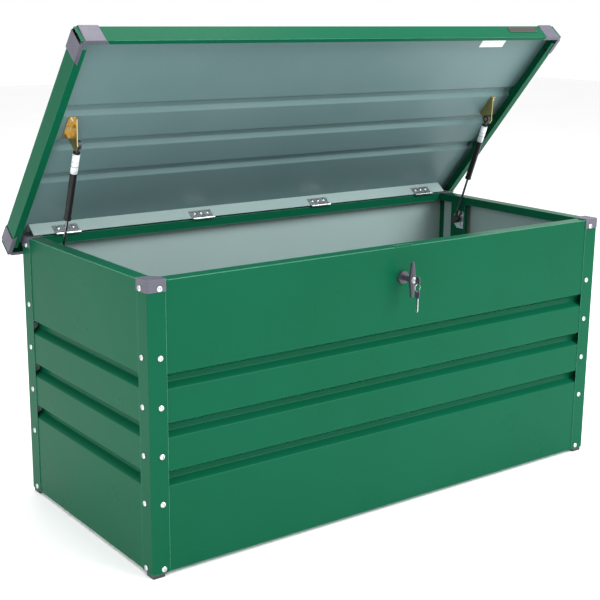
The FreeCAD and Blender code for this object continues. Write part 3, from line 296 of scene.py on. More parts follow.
greenLook = {
    "colour": (0.0022, 0.076, 0.034), "shade": (0.0028, 0.086, 0.042), "cloudScale": 2.2,
    "speck": (0.008, 0.12, 0.07), "speckScale": 900, "speckAmount": 0.12,
    # the mint edge colour is a painted highlight along the rims and groove edges
    "edge": (0.2, 0.5, 0.38), "edgeRadius": 0.0014, "edgeBreak": 60, "edgeAmount": 0.8,
    "rough": (0.26, 0.34), "roughScale": 9, "grainScale": 700, "grainDepth": 0.00003,
    "waveScale": 3.5, "waveDepth": 0.0012, "specular": 0.05,
}
paleLook = {
    "colour": (0.27, 0.37, 0.36), "shade": (0.31, 0.41, 0.4), "cloudScale": 2.6,
    "speck": (0.5, 0.58, 0.58), "speckScale": 700, "speckAmount": 0.15,
    "edge": (0.55, 0.65, 0.65), "edgeRadius": 0.0012, "edgeBreak": 60, "edgeAmount": 0.5,
    "rough": (0.3, 0.42), "roughScale": 8, "grainScale": 650, "grainDepth": 0.00003,
    "waveScale": 3.0, "waveDepth": 0.0012, "specular": 0.2,
}
# lid underside: a darker copy of the pale back-coat, painted shade for the downward-facing inner face of the
# opened lid
paintedShadeUndersideLook = {
    **paleLook, "colour": (0.1, 0.175, 0.178), "shade": (0.125, 0.2, 0.204), "speck": (0.25, 0.34, 0.34),
    "edge": (0.4, 0.52, 0.52), "specular": 0.14,
}
capLook = {
    "colour": (0.075, 0.072, 0.1), "shade": (0.055, 0.053, 0.075), "cloudScale": 40,
    "speck": (0.16, 0.16, 0.2), "speckScale": 1600, "speckAmount": 0.25,
    "edge": (0.3, 0.3, 0.36), "edgeRadius": 0.0012, "edgeBreak": 160, "edgeAmount": 0.5,
    "rough": (0.42, 0.55), "roughScale": 60, "grainScale": 2400, "grainDepth": 0.00008,
    "waveScale": 20, "waveDepth": 0.0001,
}
blackLook = {
    "colour": (0.012, 0.012, 0.013), "shade": (0.02, 0.02, 0.021), "cloudScale": 50,
    "speck": (0.06, 0.06, 0.06), "speckScale": 1500, "speckAmount": 0.2,
    "edge": (0.12, 0.12, 0.12), "edgeRadius": 0.0008, "edgeBreak": 200, "edgeAmount": 0.4,
    "rough": (0.4, 0.55), "roughScale": 80, "grainScale": 2600, "grainDepth": 0.00008,
    "waveScale": 30, "waveDepth": 0.0001,
}
handleLook = {
    "colour": (0.03, 0.028, 0.042), "shade": (0.022, 0.02, 0.032), "cloudScale": 60,
    "speck": (0.09, 0.09, 0.11), "speckScale": 2200, "speckAmount": 0.2,
    "edge": (0.18, 0.18, 0.22), "edgeRadius": 0.0008, "edgeBreak": 220, "edgeAmount": 0.35,
    "rough": (0.3, 0.4), "roughScale": 90, "grainScale": 3000, "grainDepth": 0.00005,
    "waveScale": 40, "waveDepth": 0.0001, "coat": 0.2,
}
zincLook = {
    "colour": (0.6, 0.62, 0.64), "shade": (0.72, 0.73, 0.75), "cloudScale": 70,
    "speck": (0.42, 0.44, 0.47), "speckScale": 1200, "speckAmount": 0.3,
    "edge": (0.9, 0.9, 0.92), "edgeRadius": 0.0006, "edgeBreak": 300, "edgeAmount": 0.5,
    "rough": (0.22, 0.38), "roughScale": 160, "grainScale": 1500, "grainDepth": 0.00003,
    "waveScale": 60, "waveDepth": 0.00005, "metallic": 1.0,
}
goldLook = {
    "colour": (0.62, 0.42, 0.1), "shade": (0.7, 0.52, 0.22), "cloudScale": 45,
    "speck": (0.5, 0.42, 0.3), "speckScale": 900, "speckAmount": 0.35,
    "edge": (0.9, 0.78, 0.45), "edgeRadius": 0.0008, "edgeBreak": 250, "edgeAmount": 0.5,
    "rough": (0.25, 0.4), "roughScale": 120, "grainScale": 1400, "grainDepth": 0.00004,
    "waveScale": 50, "waveDepth": 0.00005, "metallic": 1.0,
}
rodLook = {
    "colour": (0.16, 0.16, 0.17), "shade": (0.22, 0.22, 0.24), "cloudScale": 30,
    "speck": (0.3, 0.3, 0.32), "speckScale": 900, "speckAmount": 0.15,
    "edge": (0.5, 0.5, 0.52), "edgeRadius": 0.0005, "edgeBreak": 300, "edgeAmount": 0.3,
    "rough": (0.12, 0.2), "roughScale": 120, "grainScale": 1800, "grainDepth": 0.00001,
    "waveScale": 60, "waveDepth": 0.00001, "metallic": 1.0,
}
tubeLook = {
    "colour": (0.008, 0.008, 0.009), "shade": (0.013, 0.013, 0.014), "cloudScale": 40,
    "speck": (0.03, 0.03, 0.03), "speckScale": 1200, "speckAmount": 0.12,
    "edge": (0.15, 0.15, 0.15), "edgeRadius": 0.0003, "edgeBreak": 300, "edgeAmount": 0.4,
    "rough": (0.16, 0.28), "roughScale": 60, "grainScale": 1500, "grainDepth": 0.00002,
    "waveScale": 50, "waveDepth": 0.00003, "coat": 0.0, "specular": 0.2,
}
slotLooks = {
    "green_sheet": greenLook, "pale_sheet": paleLook, "grey_plastic": capLook, "black_foot": blackLook,
    "zinc": zincLook, "yellow_zinc": goldLook, "dark_chrome": rodLook, "strut_black": tubeLook,
    "strut_plastic": blackLook, "handle_plastic": handleLook, "key_dark": handleLook,
}
finishes = {slot: finish(slot, look) for slot, look in slotLooks.items()}


def bandedFinish(name, look):
    material, tree, shader = newTree(name)
    place = tree.nodes.new("ShaderNodeTexCoord").outputs["UV"]
    split = tree.nodes.new("ShaderNodeSeparateXYZ")
    tree.links.new(place, split.inputs["Vector"])
    band = tree.nodes.new("ShaderNodeValToRGB")
    band.color_ramp.interpolation = "CONSTANT"
    stops = look["bands"]
    band.color_ramp.elements[0].color = (*stops[0][1], 1)
    band.color_ramp.elements[0].position = stops[0][0]
    band.color_ramp.elements[1].color = (*stops[1][1], 1)
    band.color_ramp.elements[1].position = stops[1][0]
    for position, colour in stops[2:]:
        band.color_ramp.elements.new(position).color = (*colour, 1)
    tree.links.new(split.outputs[look["along"]], band.inputs["Fac"])
    solid = tree.nodes.new("ShaderNodeTexCoord").outputs["Object"]
    grime = useGroup(tree, mottle, solid, Scale=look["grimeScale"], Low=0.0, High=look["grime"])
    colour = mixColour(tree, grime, band.outputs["Color"], look["grimeColour"])
    tree.links.new(colour, shader.inputs["Base Color"])
    rough = useGroup(tree, mottle, solid, Scale=200.0, Low=look["rough"][0], High=look["rough"][1])
    tree.links.new(rough, shader.inputs["Roughness"])
    normal = useGroup(tree, grainBump, solid, Scale=1500.0, Depth=0.00002, Wave_Scale=90.0, Wave_Depth=0.0001)
    tree.links.new(normal, shader.inputs["Normal"])
    shader.inputs["Metallic"].default_value = look.get("metallic", 0.0)
    return material


finishes["underside"] = finish("underside", paintedShadeUndersideLook)
finishes["strutLabel"] = bandedFinish("strutLabel", {
    "along": "Y", "grime": 0.25, "grimeScale": 220.0, "grimeColour": (0.35, 0.36, 0.38), "rough": (0.3, 0.45),
    "bands": ((0.0, (0.62, 0.64, 0.67)), (0.12, (0.78, 0.8, 0.82)), (0.34, (0.3, 0.31, 0.34)),
              (0.38, (0.74, 0.76, 0.79)), (0.58, (0.5, 0.52, 0.55)), (0.62, (0.8, 0.82, 0.84)),
              (0.9, (0.6, 0.62, 0.65))),
})
finishes["rimBadge"] = bandedFinish("rimBadge", {
    "along": "Y", "grime": 0.3, "grimeScale": 160.0, "grimeColour": (0.05, 0.035, 0.03), "rough": (0.25, 0.4),
    "bands": ((0.0, (0.05, 0.04, 0.038)), (0.14, (0.022, 0.016, 0.016)), (0.86, (0.05, 0.04, 0.038))),
})
finishes["lidSticker"] = bandedFinish("lidSticker", {
    "along": "Y", "grime": 0.15, "grimeScale": 120.0, "grimeColour": (0.7, 0.72, 0.72), "rough": (0.4, 0.55),
    "bands": ((0.0, (0.85, 0.86, 0.87)), (0.3, (0.62, 0.64, 0.66)), (0.38, (0.86, 0.87, 0.88)),
              (0.62, (0.66, 0.68, 0.7)), (0.7, (0.87, 0.88, 0.88))),
})


def newPiece(name, mesh, body, materials):
    mesh.materials.clear()
    for material in materials:
        mesh.materials.append(material)
    piece = bpy.data.objects.new(name, mesh)
    bpy.context.scene.collection.objects.link(piece)
    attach(piece, body)
    return piece


def foldAngle(edge):
    return math.degrees(edge.calc_face_angle(0)) if len(edge.link_faces) == 2 else 0


def settledNormals(name, mesh):
    for polygon in mesh.polygons:
        polygon.use_smooth = True
    mesh.set_sharp_from_angle(angle=math.radians(38))
    carrier = bpy.data.objects.new(name, mesh)
    bpy.context.scene.collection.objects.link(carrier)
    weighted = carrier.modifiers.new("weighted", "WEIGHTED_NORMAL")
    weighted.keep_sharp = True
    graph = bpy.context.evaluated_depsgraph_get()
    settled = bpy.data.meshes.new_from_object(carrier.evaluated_get(graph), preserve_all_data_layers=True,
                                              depsgraph=graph)
    bpy.data.objects.remove(carrier)
    settled.name = name
    return settled


def roundedMesh(node, name, edgeWidth, bendWidth):
    source = frame["nodes"][node]
    work = bmesh.new()
    work.from_mesh(source.data)
    bmesh.ops.remove_doubles(work, verts=work.verts, dist=0.000002)
    bmesh.ops.dissolve_limit(work, angle_limit=math.radians(0.5), verts=work.verts, edges=work.edges)
    if bendWidth:
        bends = [edge for edge in work.edges if 25 < foldAngle(edge) < 75 and edge.calc_length() > 0.1]
        bmesh.ops.bevel(work, geom=bends, offset=bendWidth, segments=3, profile=0.5, affect="EDGES",
                        clamp_overlap=True)
    sharp = [edge for edge in work.edges if foldAngle(edge) > 40]
    bmesh.ops.bevel(work, geom=sharp, offset=edgeWidth, segments=2, profile=0.5, affect="EDGES",
                    clamp_overlap=True)
    mesh = bpy.data.meshes.new(name)
    work.to_mesh(mesh)
    work.free()
    return settledNormals(name, mesh)


def twoFaced(mesh, inward):
    for polygon in mesh.polygons:
        polygon.material_index = 1 if polygon.normal.dot(inward) > 0.12 else 0


def onLid(point):
    turn = Matrix.Rotation(-math.radians(lid["open"]), 3, "X")
    return lid["hinge"] + turn @ (Vector(point) - lid["hinge"])


def lidDirection(direction):
    return Matrix.Rotation(-math.radians(lid["open"]), 3, "X") @ Vector(direction)


roundings = {  # node: (piece, edge width, bend width) in metres
    "front_panel": ("frontWall", 0.0002, 0.0016),
    "rear_panel": ("rearWall", 0.0002, 0.0016),
    "left_panel": ("leftWall", 0.0002, 0.0016),
    "right_panel": ("rightWall", 0.0002, 0.0016),
    "floor_panel": ("boxFloor", 0.0002, 0.0012),
    "lid_panel": ("lidSkin", 0.0002, 0.0012),
    "front_left_post": ("frontLeftPost", 0.0003, 0),
    "front_right_post": ("frontRightPost", 0.0003, 0),
    "rear_left_post": ("rearLeftPost", 0.0003, 0),
    "rear_right_post": ("rearRightPost", 0.0003, 0),
    "front_top_rail": ("frontBodyRail", 0.0003, 0),
    "rear_top_rail": ("rearBodyRail", 0.0003, 0),
    "left_top_rail": ("leftBodyRail", 0.0003, 0),
    "right_top_rail": ("rightBodyRail", 0.0003, 0),
    "lid_front_rail": ("lidFrontRim", 0.0005, 0),
    "lid_rear_rail": ("lidRearRim", 0.0005, 0),
    "lid_left_rail": ("lidLeftRim", 0.0005, 0),
    "lid_right_rail": ("lidRightRim", 0.0005, 0),
    "post_caps": ("postCaps", 0.0006, 0),
    "lid_corner_caps": ("lidCaps", 0.0009, 0),
    "lid_hinge_angle": ("hingeAngle", 0.0004, 0),
    "lock_plate": ("lockPlate", 0.0004, 0),
    "lock_cam": ("lockCam", 0.0004, 0),
    "left_upper_bracket": ("leftLidBracket", 0.0005, 0),
    "right_upper_bracket": ("rightLidBracket", 0.0005, 0),
    "left_lower_bracket": ("leftWallBracket", 0.0005, 0),
    "right_lower_bracket": ("rightWallBracket", 0.0005, 0),
    "left_strut_channel": ("leftChannel", 0.0004, 0),
    "right_strut_channel": ("rightChannel", 0.0004, 0),
    "floor_angles": ("floorAngles", 0.0002, 0),
    "feet": ("boxFeet", 0.001, 0),
}
inwards = {
    "front_panel": Vector((0, 1, 0)), "rear_panel": Vector((0, -1, 0)),
    "left_panel": Vector((1, 0, 0)), "right_panel": Vector((-1, 0, 0)),
    "lid_panel": lidDirection((0, 0, -1)),
}


def roundSheets():
    for node, (name, edgeWidth, bendWidth) in roundings.items():
        mesh = roundedMesh(node, name, edgeWidth, bendWidth)
        slot = nodeSlot[node]
        if node in inwards:
            # the lid's inner face takes the darker painted-shade copy of the pale sheet; the walls take the
            # pale sheet itself
            inner = "underside" if node == "lid_panel" else "pale_sheet"
            materials = [finishes["green_sheet"], finishes[inner]]
        else:
            materials = [finishes[slot]]
        piece = newPiece(name, mesh, nodeBody[node], materials)
        if node in inwards:
            twoFaced(mesh, inwards[node])
        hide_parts(node)


def paintCad():
    for name, node in frame["nodes"].items():
        finishMaterial = finishes[nodeSlot[name]]
        if not node.material_slots:
            node.data.materials.append(finishMaterial)
        for entry in node.material_slots:
            entry.material = finishMaterial


def turnedMesh(name, outline, segments):
    work = bmesh.new()
    rings = []
    for radius, height in outline:
        if radius == 0:
            rings.append([work.verts.new((0, 0, height))])
        else:
            rings.append([work.verts.new((radius * math.cos(2 * math.pi * step / segments),
                                          radius * math.sin(2 * math.pi * step / segments), height))
                          for step in range(segments)])
    for low, high in zip(rings, rings[1:]):
        for step in range(segments):
            after = (step + 1) % segments
            if len(low) == 1:
                work.faces.new((low[0], high[step], high[after]))
            elif len(high) == 1:
                work.faces.new((low[step], high[0], low[after]))
            else:
                work.faces.new((low[step], high[step], high[after], low[after]))
    bmesh.ops.recalc_face_normals(work, faces=work.faces)
    mesh = bpy.data.meshes.new(name)
    work.to_mesh(mesh)
    work.free()
    return mesh


def screwMesh(name, head, dome, shank, length, cross, depth):
    outline = [(0, -length), (shank * 0.8, -length), (shank, -length + shank * 0.3), (shank, 0),
               (head * 0.97, 0), (head, dome * 0.08), (head, dome * 0.25)]
    rings = 22
    for ring in range(1, rings):
        radius = head * (1 - ring / rings)
        outline.append((radius, dome * (0.25 + 0.75 * math.sqrt(1 - (radius / head) ** 2))))
    outline.append((0, dome))
    mesh = turnedMesh(name, outline, 48)
    reach = head * 0.5
    for vertex in mesh.vertices:
        x, y, z = vertex.co
        inCross = min(abs(x), abs(y)) < cross and max(abs(x), abs(y)) < reach
        if z > dome * 0.5 and inCross:
            vertex.co.z -= depth
    for polygon in mesh.polygons:
        polygon.use_smooth = True
    mesh.set_sharp_from_angle(angle=math.radians(45))
    return mesh


def makeScrewTree():
    tree = bpy.data.node_groups.new("screwsOnSpots", "GeometryNodeTree")
    tree.interface.new_socket("Spots", in_out="INPUT", socket_type="NodeSocketGeometry")
    tree.interface.new_socket("Screw", in_out="INPUT", socket_type="NodeSocketObject")
    tree.interface.new_socket("Seed", in_out="INPUT", socket_type="NodeSocketInt")
    tree.interface.new_socket("Finish", in_out="INPUT", socket_type="NodeSocketMaterial")
    tree.interface.new_socket("Screws", in_out="OUTPUT", socket_type="NodeSocketGeometry")
    given = tree.nodes.new("NodeGroupInput")
    result = tree.nodes.new("NodeGroupOutput")
    shape = tree.nodes.new("GeometryNodeObjectInfo")
    outward = tree.nodes.new("GeometryNodeInputNamedAttribute")
    outward.data_type = "FLOAT_VECTOR"
    outward.inputs["Name"].default_value = "outward"
    aim = tree.nodes.new("FunctionNodeAlignRotationToVector")
    aim.axis = "Z"
    spin = tree.nodes.new("FunctionNodeRandomValue")
    spin.data_type = "FLOAT"
    spin.inputs[3].default_value = math.tau
    axle = tree.nodes.new("FunctionNodeAxisAngleToRotation")
    turn = tree.nodes.new("FunctionNodeRotateRotation")
    turn.rotation_space = "LOCAL"
    copies = tree.nodes.new("GeometryNodeInstanceOnPoints")
    real = tree.nodes.new("GeometryNodeRealizeInstances")
    paint = tree.nodes.new("GeometryNodeSetMaterial")
    for start, end in (
        (given.outputs["Screw"], shape.inputs["Object"]),
        (outward.outputs["Attribute"], aim.inputs["Vector"]),
        (given.outputs["Seed"], spin.inputs["Seed"]),
        (spin.outputs[1], axle.inputs["Angle"]),
        (aim.outputs["Rotation"], turn.inputs["Rotation"]),
        (axle.outputs["Rotation"], turn.inputs["Rotate By"]),
        (given.outputs["Spots"], copies.inputs["Points"]),
        (shape.outputs["Geometry"], copies.inputs["Instance"]),
        (turn.outputs["Rotation"], copies.inputs["Rotation"]),
        (copies.outputs["Instances"], real.inputs["Geometry"]),
        (real.outputs["Geometry"], paint.inputs["Geometry"]),
        (given.outputs["Finish"], paint.inputs["Material"]),
        (paint.outputs["Geometry"], result.inputs["Screws"]),
    ):
        tree.links.new(start, end)
    return tree


def screwRow(name, tree, screw, spots, seed, body, node):
    mesh = bpy.data.meshes.new(name)
    mesh.from_pydata([place for place, outward in spots], [], [])
    attribute = mesh.attributes.new("outward", "FLOAT_VECTOR", "POINT")
    for index, (place, outward) in enumerate(spots):
        attribute.data[index].vector = outward
    carrier = bpy.data.objects.new(name, mesh)
    bpy.context.scene.collection.objects.link(carrier)
    modifier = carrier.modifiers.new("screws", "NODES")
    modifier.node_group = tree
    sockets = {item.name: item.identifier for item in tree.interface.items_tree if item.in_out == "INPUT"}
    modifier[sockets["Screw"]] = screw
    modifier[sockets["Seed"]] = seed
    modifier[sockets["Finish"]] = finishes["zinc"]
    graph = bpy.context.evaluated_depsgraph_get()
    plain = bpy.data.meshes.new_from_object(carrier.evaluated_get(graph), preserve_all_data_layers=True,
                                            depsgraph=graph)
    bpy.data.objects.remove(carrier)
    plain.name = name
    piece = newPiece(name, plain, body, [finishes["zinc"]])
    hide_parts(node)


def postSpots(level, proud):
    across = screws["halfWidth"]
    along = screws["halfDepth"]
    inset = screws["inset"]
    spots = []
    for side in (-1, 1):
        for end in (-1, 1):
            spots.append(((side * (across - inset), end * (along + proud), level), (0, end, 0)))
            spots.append(((side * (across + proud), end * (along - inset), level), (side, 0, 0)))
    return spots


def lidSpot(place, direction):
    return onLid(place), lidDirection(direction)


def makeScrews():
    tree = makeScrewTree()
    wall = bpy.data.objects.new("wallScrewShape", screwMesh(
        "wallScrewShape", screws["wallHead"], screws["wallDome"], screws["wallShank"], screws["wallLength"],
        0.0007, 0.0013))
    small = bpy.data.objects.new("smallScrewShape", screwMesh(
        "smallScrewShape", screws["smallHead"], screws["smallDome"], screws["smallShank"],
        screws["smallLength"], 0.0005, 0.0008))
    wallSpots = [spot for level in screws["levels"] for spot in postSpots(level, 0)]
    wallSpots += postSpots(screws["capLevel"], screws["capProud"])
    screwRow("wallScrews", tree, wall, wallSpots, 3, "box", "wall_screws")
    footSpots = [((side * 0.6145, end * 0.265, 0.0101), (0, 0, 1)) for side in (-1, 1) for end in (-1, 1)]
    screwRow("footScrews", tree, wall, footSpots, 5, "box", "foot_screws")
    steps = (-1, 0, 1)
    y, z = hinges["lowerRow"]
    boxSpots = [((middle + step * hinges["screwPitch"], y, z), (0, 0, 1))
                for middle in hinges["places"] for step in steps]
    boxSpots += [((side * 0.598, 0.159, z), (-side, 0, 0)) for side in (-1, 1) for z in (0.527, 0.551)]
    screwRow("hingeScrewsBelow", tree, small, boxSpots, 7, "box", "box_small_screws")
    y, z = hinges["upperRow"]
    lidSpots = [lidSpot((middle + step * hinges["screwPitch"], y, z), (0, -1, 0))
                for middle in hinges["places"] for step in steps]
    lidSpots += [lidSpot((side * 0.6033, y, 0.6442), (0, 0, 1))
                 for side in (-1, 1) for y in (-0.0739, -0.0519)]
    screwRow("hingeScrewsAbove", tree, small, lidSpots, 9, "lid", "lid_small_screws")


def smoothStep(value):
    value = min(max(value, 0), 1)
    return value * value * (3 - 2 * value)


def fillHandleBar(work):
    rows = 49
    around = 28
    middleY = (handle["front"] + handle["back"]) / 2
    depth = (handle["back"] - handle["front"]) / 2
    rings = []
    for row in range(rows):
        along = -1 + 2 * row / (rows - 1)
        swell = 1 - smoothStep(abs(along))
        width = handle["tip"] + (handle["middle"] - handle["tip"]) * swell
        close = math.sqrt(max(0, 1 - max(0, (abs(along) - 0.93) / 0.07) ** 2))
        width *= max(close, 0.12)
        deep = depth * (0.72 + 0.28 * swell) * max(close, 0.12)
        z = handle["z"] + along * handle["half"]
        ring = []
        for step in range(around):
            angle = math.tau * step / around
            x = math.copysign(abs(math.cos(angle)) ** 0.62, math.cos(angle)) * width
            y = math.copysign(abs(math.sin(angle)) ** 0.62, math.sin(angle)) * deep
            ring.append(work.verts.new((x, middleY + y, z)))
        rings.append(ring)
    for low, high in zip(rings, rings[1:]):
        for step in range(around):
            after = (step + 1) % around
            work.faces.new((low[step], low[after], high[after], high[step]))
    work.faces.new(rings[0][::-1])
    work.faces.new(rings[-1])


def handleNeck():
    neck = handle["neck"]
    reach = handle["neckEnd"] - handle["back"]
    outline = [(0, -0.003), (neck * 1.25, -0.003), (neck * 1.25, 0), (neck * 1.1, 0.0015),
               (neck, 0.004), (neck, reach - 0.002), (neck * 0.93, reach), (0, reach)]
    shape = turnedMesh("neck", outline, 40)
    shape.transform(Matrix.Translation((0, handle["back"], handle["z"]))
                    @ Matrix.Rotation(math.radians(-90), 4, "X"))
    return shape


def makeHandle():
    work = bmesh.new()
    fillHandleBar(work)
    work.from_mesh(handleNeck())
    bmesh.ops.recalc_face_normals(work, faces=work.faces)
    mesh = bpy.data.meshes.new("turnHandle")
    work.to_mesh(mesh)
    work.free()
    mesh = settledNormals("turnHandle", mesh)
    piece = newPiece("turnHandle", mesh, "handle", [finishes["handle_plastic"]])
    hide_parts("lock_handle")


def makePlugBezel():
    outline = [(0.0056, 0), (0.0068, 0), (0.0068, 0.0006), (0.0064, 0.0011), (0.0059, 0.0011),
               (0.0056, 0.0007), (0.0056, 0)]
    bezel = turnedMesh("plugBezel", outline, 48)
    bezel.transform(Matrix.Translation((0, handle["front"] + 0.0002, handle["z"]))
                    @ Matrix.Rotation(math.radians(90), 4, "X"))
    newPiece("plugBezel", settledNormals("plugBezel", bezel), "handle", [finishes["zinc"]])


def meshFromCurve(name, curve):
    carrier = bpy.data.objects.new(name, curve)
    bpy.context.scene.collection.objects.link(carrier)
    graph = bpy.context.evaluated_depsgraph_get()
    mesh = bpy.data.meshes.new_from_object(carrier.evaluated_get(graph))
    bpy.data.objects.remove(carrier)
    mesh.name = name
    return mesh


def flatCurveMesh(name, loops, halfThickness, bevel):
    curve = bpy.data.curves.new(name, "CURVE")
    curve.dimensions = "2D"
    curve.fill_mode = "BOTH"
    curve.extrude = halfThickness - bevel
    curve.bevel_depth = bevel
    curve.bevel_resolution = 2
    for points in loops:
        spline = curve.splines.new("POLY")
        spline.points.add(len(points) - 1)
        for point, (x, y) in zip(spline.points, points):
            point.co = (x, y, 0, 1)
        spline.use_cyclic_u = True
    return meshFromCurve(name, curve)


def ovalLoop(centre, wide, tall, power, count):
    loop = []
    for step in range(count):
        angle = math.tau * step / count
        x = math.copysign(abs(math.cos(angle)) ** power, math.cos(angle)) * wide
        y = math.copysign(abs(math.sin(angle)) ** power, math.sin(angle)) * tall
        loop.append((centre[0] + x, centre[1] + y))
    return loop


def intoKeyPlane(mesh):
    axes = Matrix(((0, 0, 1, 0), (1, 0, 0, 0), (0, 1, 0, 0), (0, 0, 0, 1)))
    mesh.transform(axes)
    return mesh


def bowMesh(name, z, holeZ):
    bevel = 0.0005
    outer = ovalLoop((keySizes["y"], z), keySizes["wide"] - bevel, keySizes["tall"] - bevel, 0.72, 64)
    hole = ovalLoop((keySizes["y"], holeZ), keySizes["hole"] + bevel, keySizes["hole"] + bevel, 1, 32)
    return intoKeyPlane(flatCurveMesh(name, [outer, hole], keySizes["thick"] / 2, bevel))


def makeKeys():
    keyBow = bowMesh("keyBow", keySizes["keyZ"], keySizes["keyHoleZ"])
    shank = keySizes["bladeWidth"] / 2
    plugFace = handle["front"] - 0.001
    near = keySizes["y"] + keySizes["wide"] - 0.0008
    blade = [(near, keySizes["keyZ"] - shank), (plugFace + 0.0005, keySizes["keyZ"] - shank),
             (plugFace + 0.0005, keySizes["keyZ"] + shank), (near, keySizes["keyZ"] + shank)]
    bladeMesh = intoKeyPlane(flatCurveMesh("keyBlade", [blade], 0.0008, 0.0001))
    joinKey("doorKey", keyBow, bladeMesh, "key", "key")
    spareBow = bowMesh("spareBow", keySizes["spareZ"], keySizes["spareHoleZ"])
    top = keySizes["spareZ"] - keySizes["tall"] + 0.001
    tip = keySizes["spareZ"] - keySizes["tall"] - keySizes["bladeLength"]
    half = keySizes["bladeWidth"] / 2
    teeth = [(keySizes["y"] - half, top), (keySizes["y"] - half, tip + 0.0035), (keySizes["y"] - 0.0012, tip),
             (keySizes["y"] + 0.0008, tip), (keySizes["y"] + half, tip + 0.003)]
    cuts = (0.0, 0.0012, 0.0004, 0.0016, 0.0007, 0.0013, 0.0)
    for index, cutDepth in enumerate(cuts):
        level = tip + 0.0045 + index * 0.003
        teeth += [(keySizes["y"] + half - cutDepth, level), (keySizes["y"] + half - cutDepth, level + 0.0012)]
    teeth += [(keySizes["y"] + half, tip + 0.0265), (keySizes["y"] + half, top)]
    spareBlade = intoKeyPlane(flatCurveMesh("spareBlade", [teeth], 0.0008, 0.0001))
    joinKey("spareKey", spareBow, spareBlade, "spare", "spare_key")
    makeKeyRing()


def joinKey(name, bow, blade, body, node):
    work = bmesh.new()
    work.from_mesh(bow)
    bowFaces = len(work.faces)
    work.from_mesh(blade)
    mesh = bpy.data.meshes.new(name)
    work.to_mesh(mesh)
    work.free()
    mesh = settledNormals(name, mesh)
    piece = newPiece(name, mesh, body, [finishes["key_dark"], finishes["zinc"]])
    for polygon in mesh.polygons:
        polygon.material_index = 0 if polygon.index < bowFaces else 1
    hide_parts(node)


def makeKeyRing():
    curve = bpy.data.curves.new("splitRing", "CURVE")
    curve.dimensions = "3D"
    curve.bevel_depth = keySizes["ringWire"]
    curve.bevel_resolution = 4
    spline = curve.splines.new("POLY")
    count = 144
    spline.points.add(count)
    for step in range(count + 1):
        angle = 2 * math.tau * step / count + math.radians(70)
        offset = keySizes["ringWire"] * (-0.9 + 1.8 * step / count)
        spline.points[step].co = (keySizes["ringRadius"] * math.cos(angle), keySizes["y"] + offset,
                                  keySizes["ringZ"] + keySizes["ringRadius"] * math.sin(angle), 1)
    curve.use_fill_caps = True
    mesh = meshFromCurve("splitRing", curve)
    for polygon in mesh.polygons:
        polygon.use_smooth = True
    piece = newPiece("splitRing", mesh, "ring", [finishes["zinc"]])
    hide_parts("key_ring")


def ontoStrut(mesh, side):
    turn = Matrix.Translation((side * strut["side"], strut["foot"].y, strut["foot"].z))
    mesh.transform(turn @ Matrix.Rotation(math.radians(strut["lean"]), 4, "X"))
    return mesh


def makeStrutTrim():
    tube = strut["tube"]
    low, high = strut["label"]
    for sideName, side in (("left", -1), ("right", 1)):
        sleeve = [(tube + 0.00005, low), (tube + 0.0003, low + 0.0002),
                  (tube + 0.0003, high - 0.0002), (tube + 0.00005, high)]
        label = turnedMesh(f"{sideName}StrutLabel", sleeve, 64)
        layer = label.uv_layers.new(name="along")
        for loop in label.loops:
            place = label.vertices[loop.vertex_index].co
            layer.data[loop.index].uv = (math.atan2(place.y, place.x) / math.tau + 0.5,
                                         (place.z - low) / (high - low))
        for polygon in label.polygons:
            polygon.use_smooth = True
        newPiece(f"{sideName}StrutLabel", ontoStrut(label, side), f"{sideName}_cylinder",
                 [finishes["strutLabel"]])
        collar = turnedMesh(f"{sideName}StrutCollar", [
            (tube + 0.0001, 0.1252), (tube + 0.0007, 0.1258), (tube + 0.0007, 0.1302), (tube + 0.0001, 0.131),
            (tube - 0.001, 0.131), (tube - 0.001, 0.1252), (tube + 0.0001, 0.1252)], 64)
        newPiece(f"{sideName}StrutCollar", settledNormals(f"{sideName}StrutCollar", ontoStrut(collar, side)),
                 f"{sideName}_cylinder", [finishes["strut_black"]])


def thinPlate(name, corners, direction, thickness, radius):
    work = bmesh.new()
    base = [Vector(corner) for corner in corners]
    lower = [work.verts.new(point) for point in base]
    upper = [work.verts.new(point + Vector(direction) * thickness) for point in base]
    work.faces.new(lower[::-1])
    work.faces.new(upper)
    for index in range(4):
        after = (index + 1) % 4
        work.faces.new((lower[index], lower[after], upper[after], upper[index]))
    bmesh.ops.recalc_face_normals(work, faces=work.faces)
    uprights = [edge for edge in work.edges
                if (edge.verts[0].co - edge.verts[1].co).length < thickness * 1.01]
    bmesh.ops.bevel(work, geom=uprights, offset=radius, segments=5, profile=0.5, affect="EDGES")
    layer = work.loops.layers.uv.new("across")
    across = base[1] - base[0]
    up = base[3] - base[0]
    for face in work.faces:
        for loop in face.loops:
            offset = loop.vert.co - base[0]
            loop[layer].uv = (offset.dot(across) / across.length_squared, offset.dot(up) / up.length_squared)
    for vertex in work.verts:
        vertex.co = onLid(vertex.co)
    mesh = bpy.data.meshes.new(name)
    work.to_mesh(mesh)
    work.free()
    return mesh


def makeLidMarks():
    across, up, thickness = lidMarks["badge"]
    y = lid["front"]
    corners = [(across[0], y, up[0]), (across[1], y, up[0]), (across[1], y, up[1]), (across[0], y, up[1])]
    badge = thinPlate("rimBadge", corners, (0, -1, 0), thickness, 0.002)
    newPiece("rimBadge", settledNormals("rimBadge", badge), "lid", [finishes["rimBadge"]])
    across, along, thickness = lidMarks["sticker"]
    z = lid["under"]
    corners = [(across[0], along[0], z), (across[1], along[0], z),
               (across[1], along[1], z), (across[0], along[1], z)]
    sticker = thinPlate("lidSticker", corners, (0, 0, -1), thickness, 0.0015)
    newPiece("lidSticker", settledNormals("lidSticker", sticker), "lid",
             [finishes["lidSticker"]])


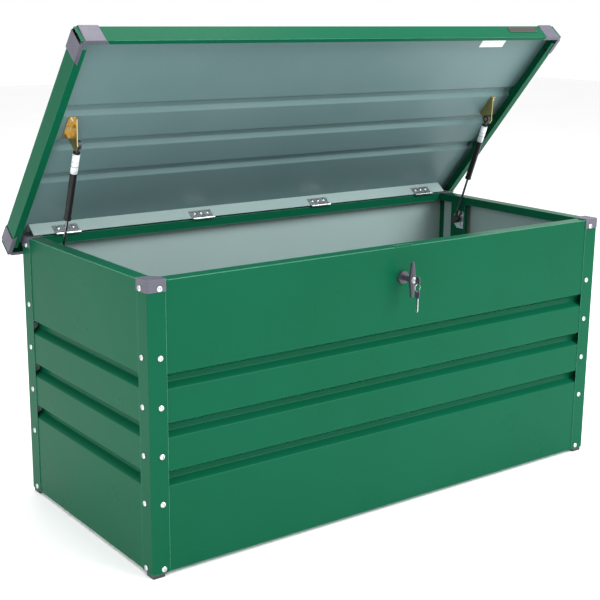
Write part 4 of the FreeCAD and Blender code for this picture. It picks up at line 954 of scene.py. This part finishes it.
def makeStage():
    floorMesh = bpy.data.meshes.new("studioFloor")
    work = bmesh.new()
    bmesh.ops.create_grid(work, x_segments=1, y_segments=1, size=14)
    work.to_mesh(floorMesh)
    work.free()
    floor = bpy.data.objects.new("studioFloor", floorMesh)
    bpy.context.scene.collection.objects.link(floor)
    material, tree, shader = newTree("studioFloor")
    place = tree.nodes.new("ShaderNodeTexCoord").outputs["Object"]
    clouds = useGroup(tree, mottle, place, Scale=1.5)
    colour = mixColour(tree, clouds, (0.93, 0.93, 0.93), (0.95, 0.95, 0.95))
    tree.links.new(colour, shader.inputs["Base Color"])
    shader.inputs["Roughness"].default_value = 0.6
    floorMesh.materials.append(material)


lights = {  # name: (place, aimed at, width, height, watts, colour)
    "key": ((1.9, -3.4, 3.0), (0, 0, 0.4), 2.6, 2.0, 190, (1.0, 1.0, 1.0)),
    "sky": ((0.0, 0.2, 4.2), (0, 0, 0.4), 4.0, 3.0, 150, (1.0, 1.0, 1.0)),
    "left": ((-3.6, -0.8, 1.8), (0, 0, 0.3), 1.6, 2.0, 40, (0.97, 1.0, 1.0)),
}


def makeLights():
    for name, (place, aim, width, height, watts, colour) in lights.items():
        lampData = bpy.data.lights.new(name, "AREA")
        lampData.shape = "RECTANGLE"
        lampData.size = width
        lampData.size_y = height
        lampData.energy = watts
        lampData.color = colour
        lamp = bpy.data.objects.new(name, lampData)
        bpy.context.scene.collection.objects.link(lamp)
        lamp.location = place
        lamp.rotation_euler = (Vector(aim) - Vector(place)).to_track_quat("-Z", "Y").to_euler()
    world = bpy.data.worlds.new("studio")
    world.use_nodes = True
    world.node_tree.nodes["Background"].inputs["Color"].default_value = (1, 1, 1, 1)
    world.node_tree.nodes["Background"].inputs["Strength"].default_value = 1.0
    bpy.context.scene.world = world
    bpy.context.scene.view_settings.view_transform = "Standard"


placeCamera()
print("camera placed")
paintCad()
roundSheets()
print("sheets rounded")
makeScrews()
print("screws placed")
makeHandle()
makePlugBezel()
makeKeys()
print("handle and keys made")
makeStrutTrim()
makeLidMarks()
print("strut trim and lid marks made")
makeStage()
makeLights()
print("studio ready")
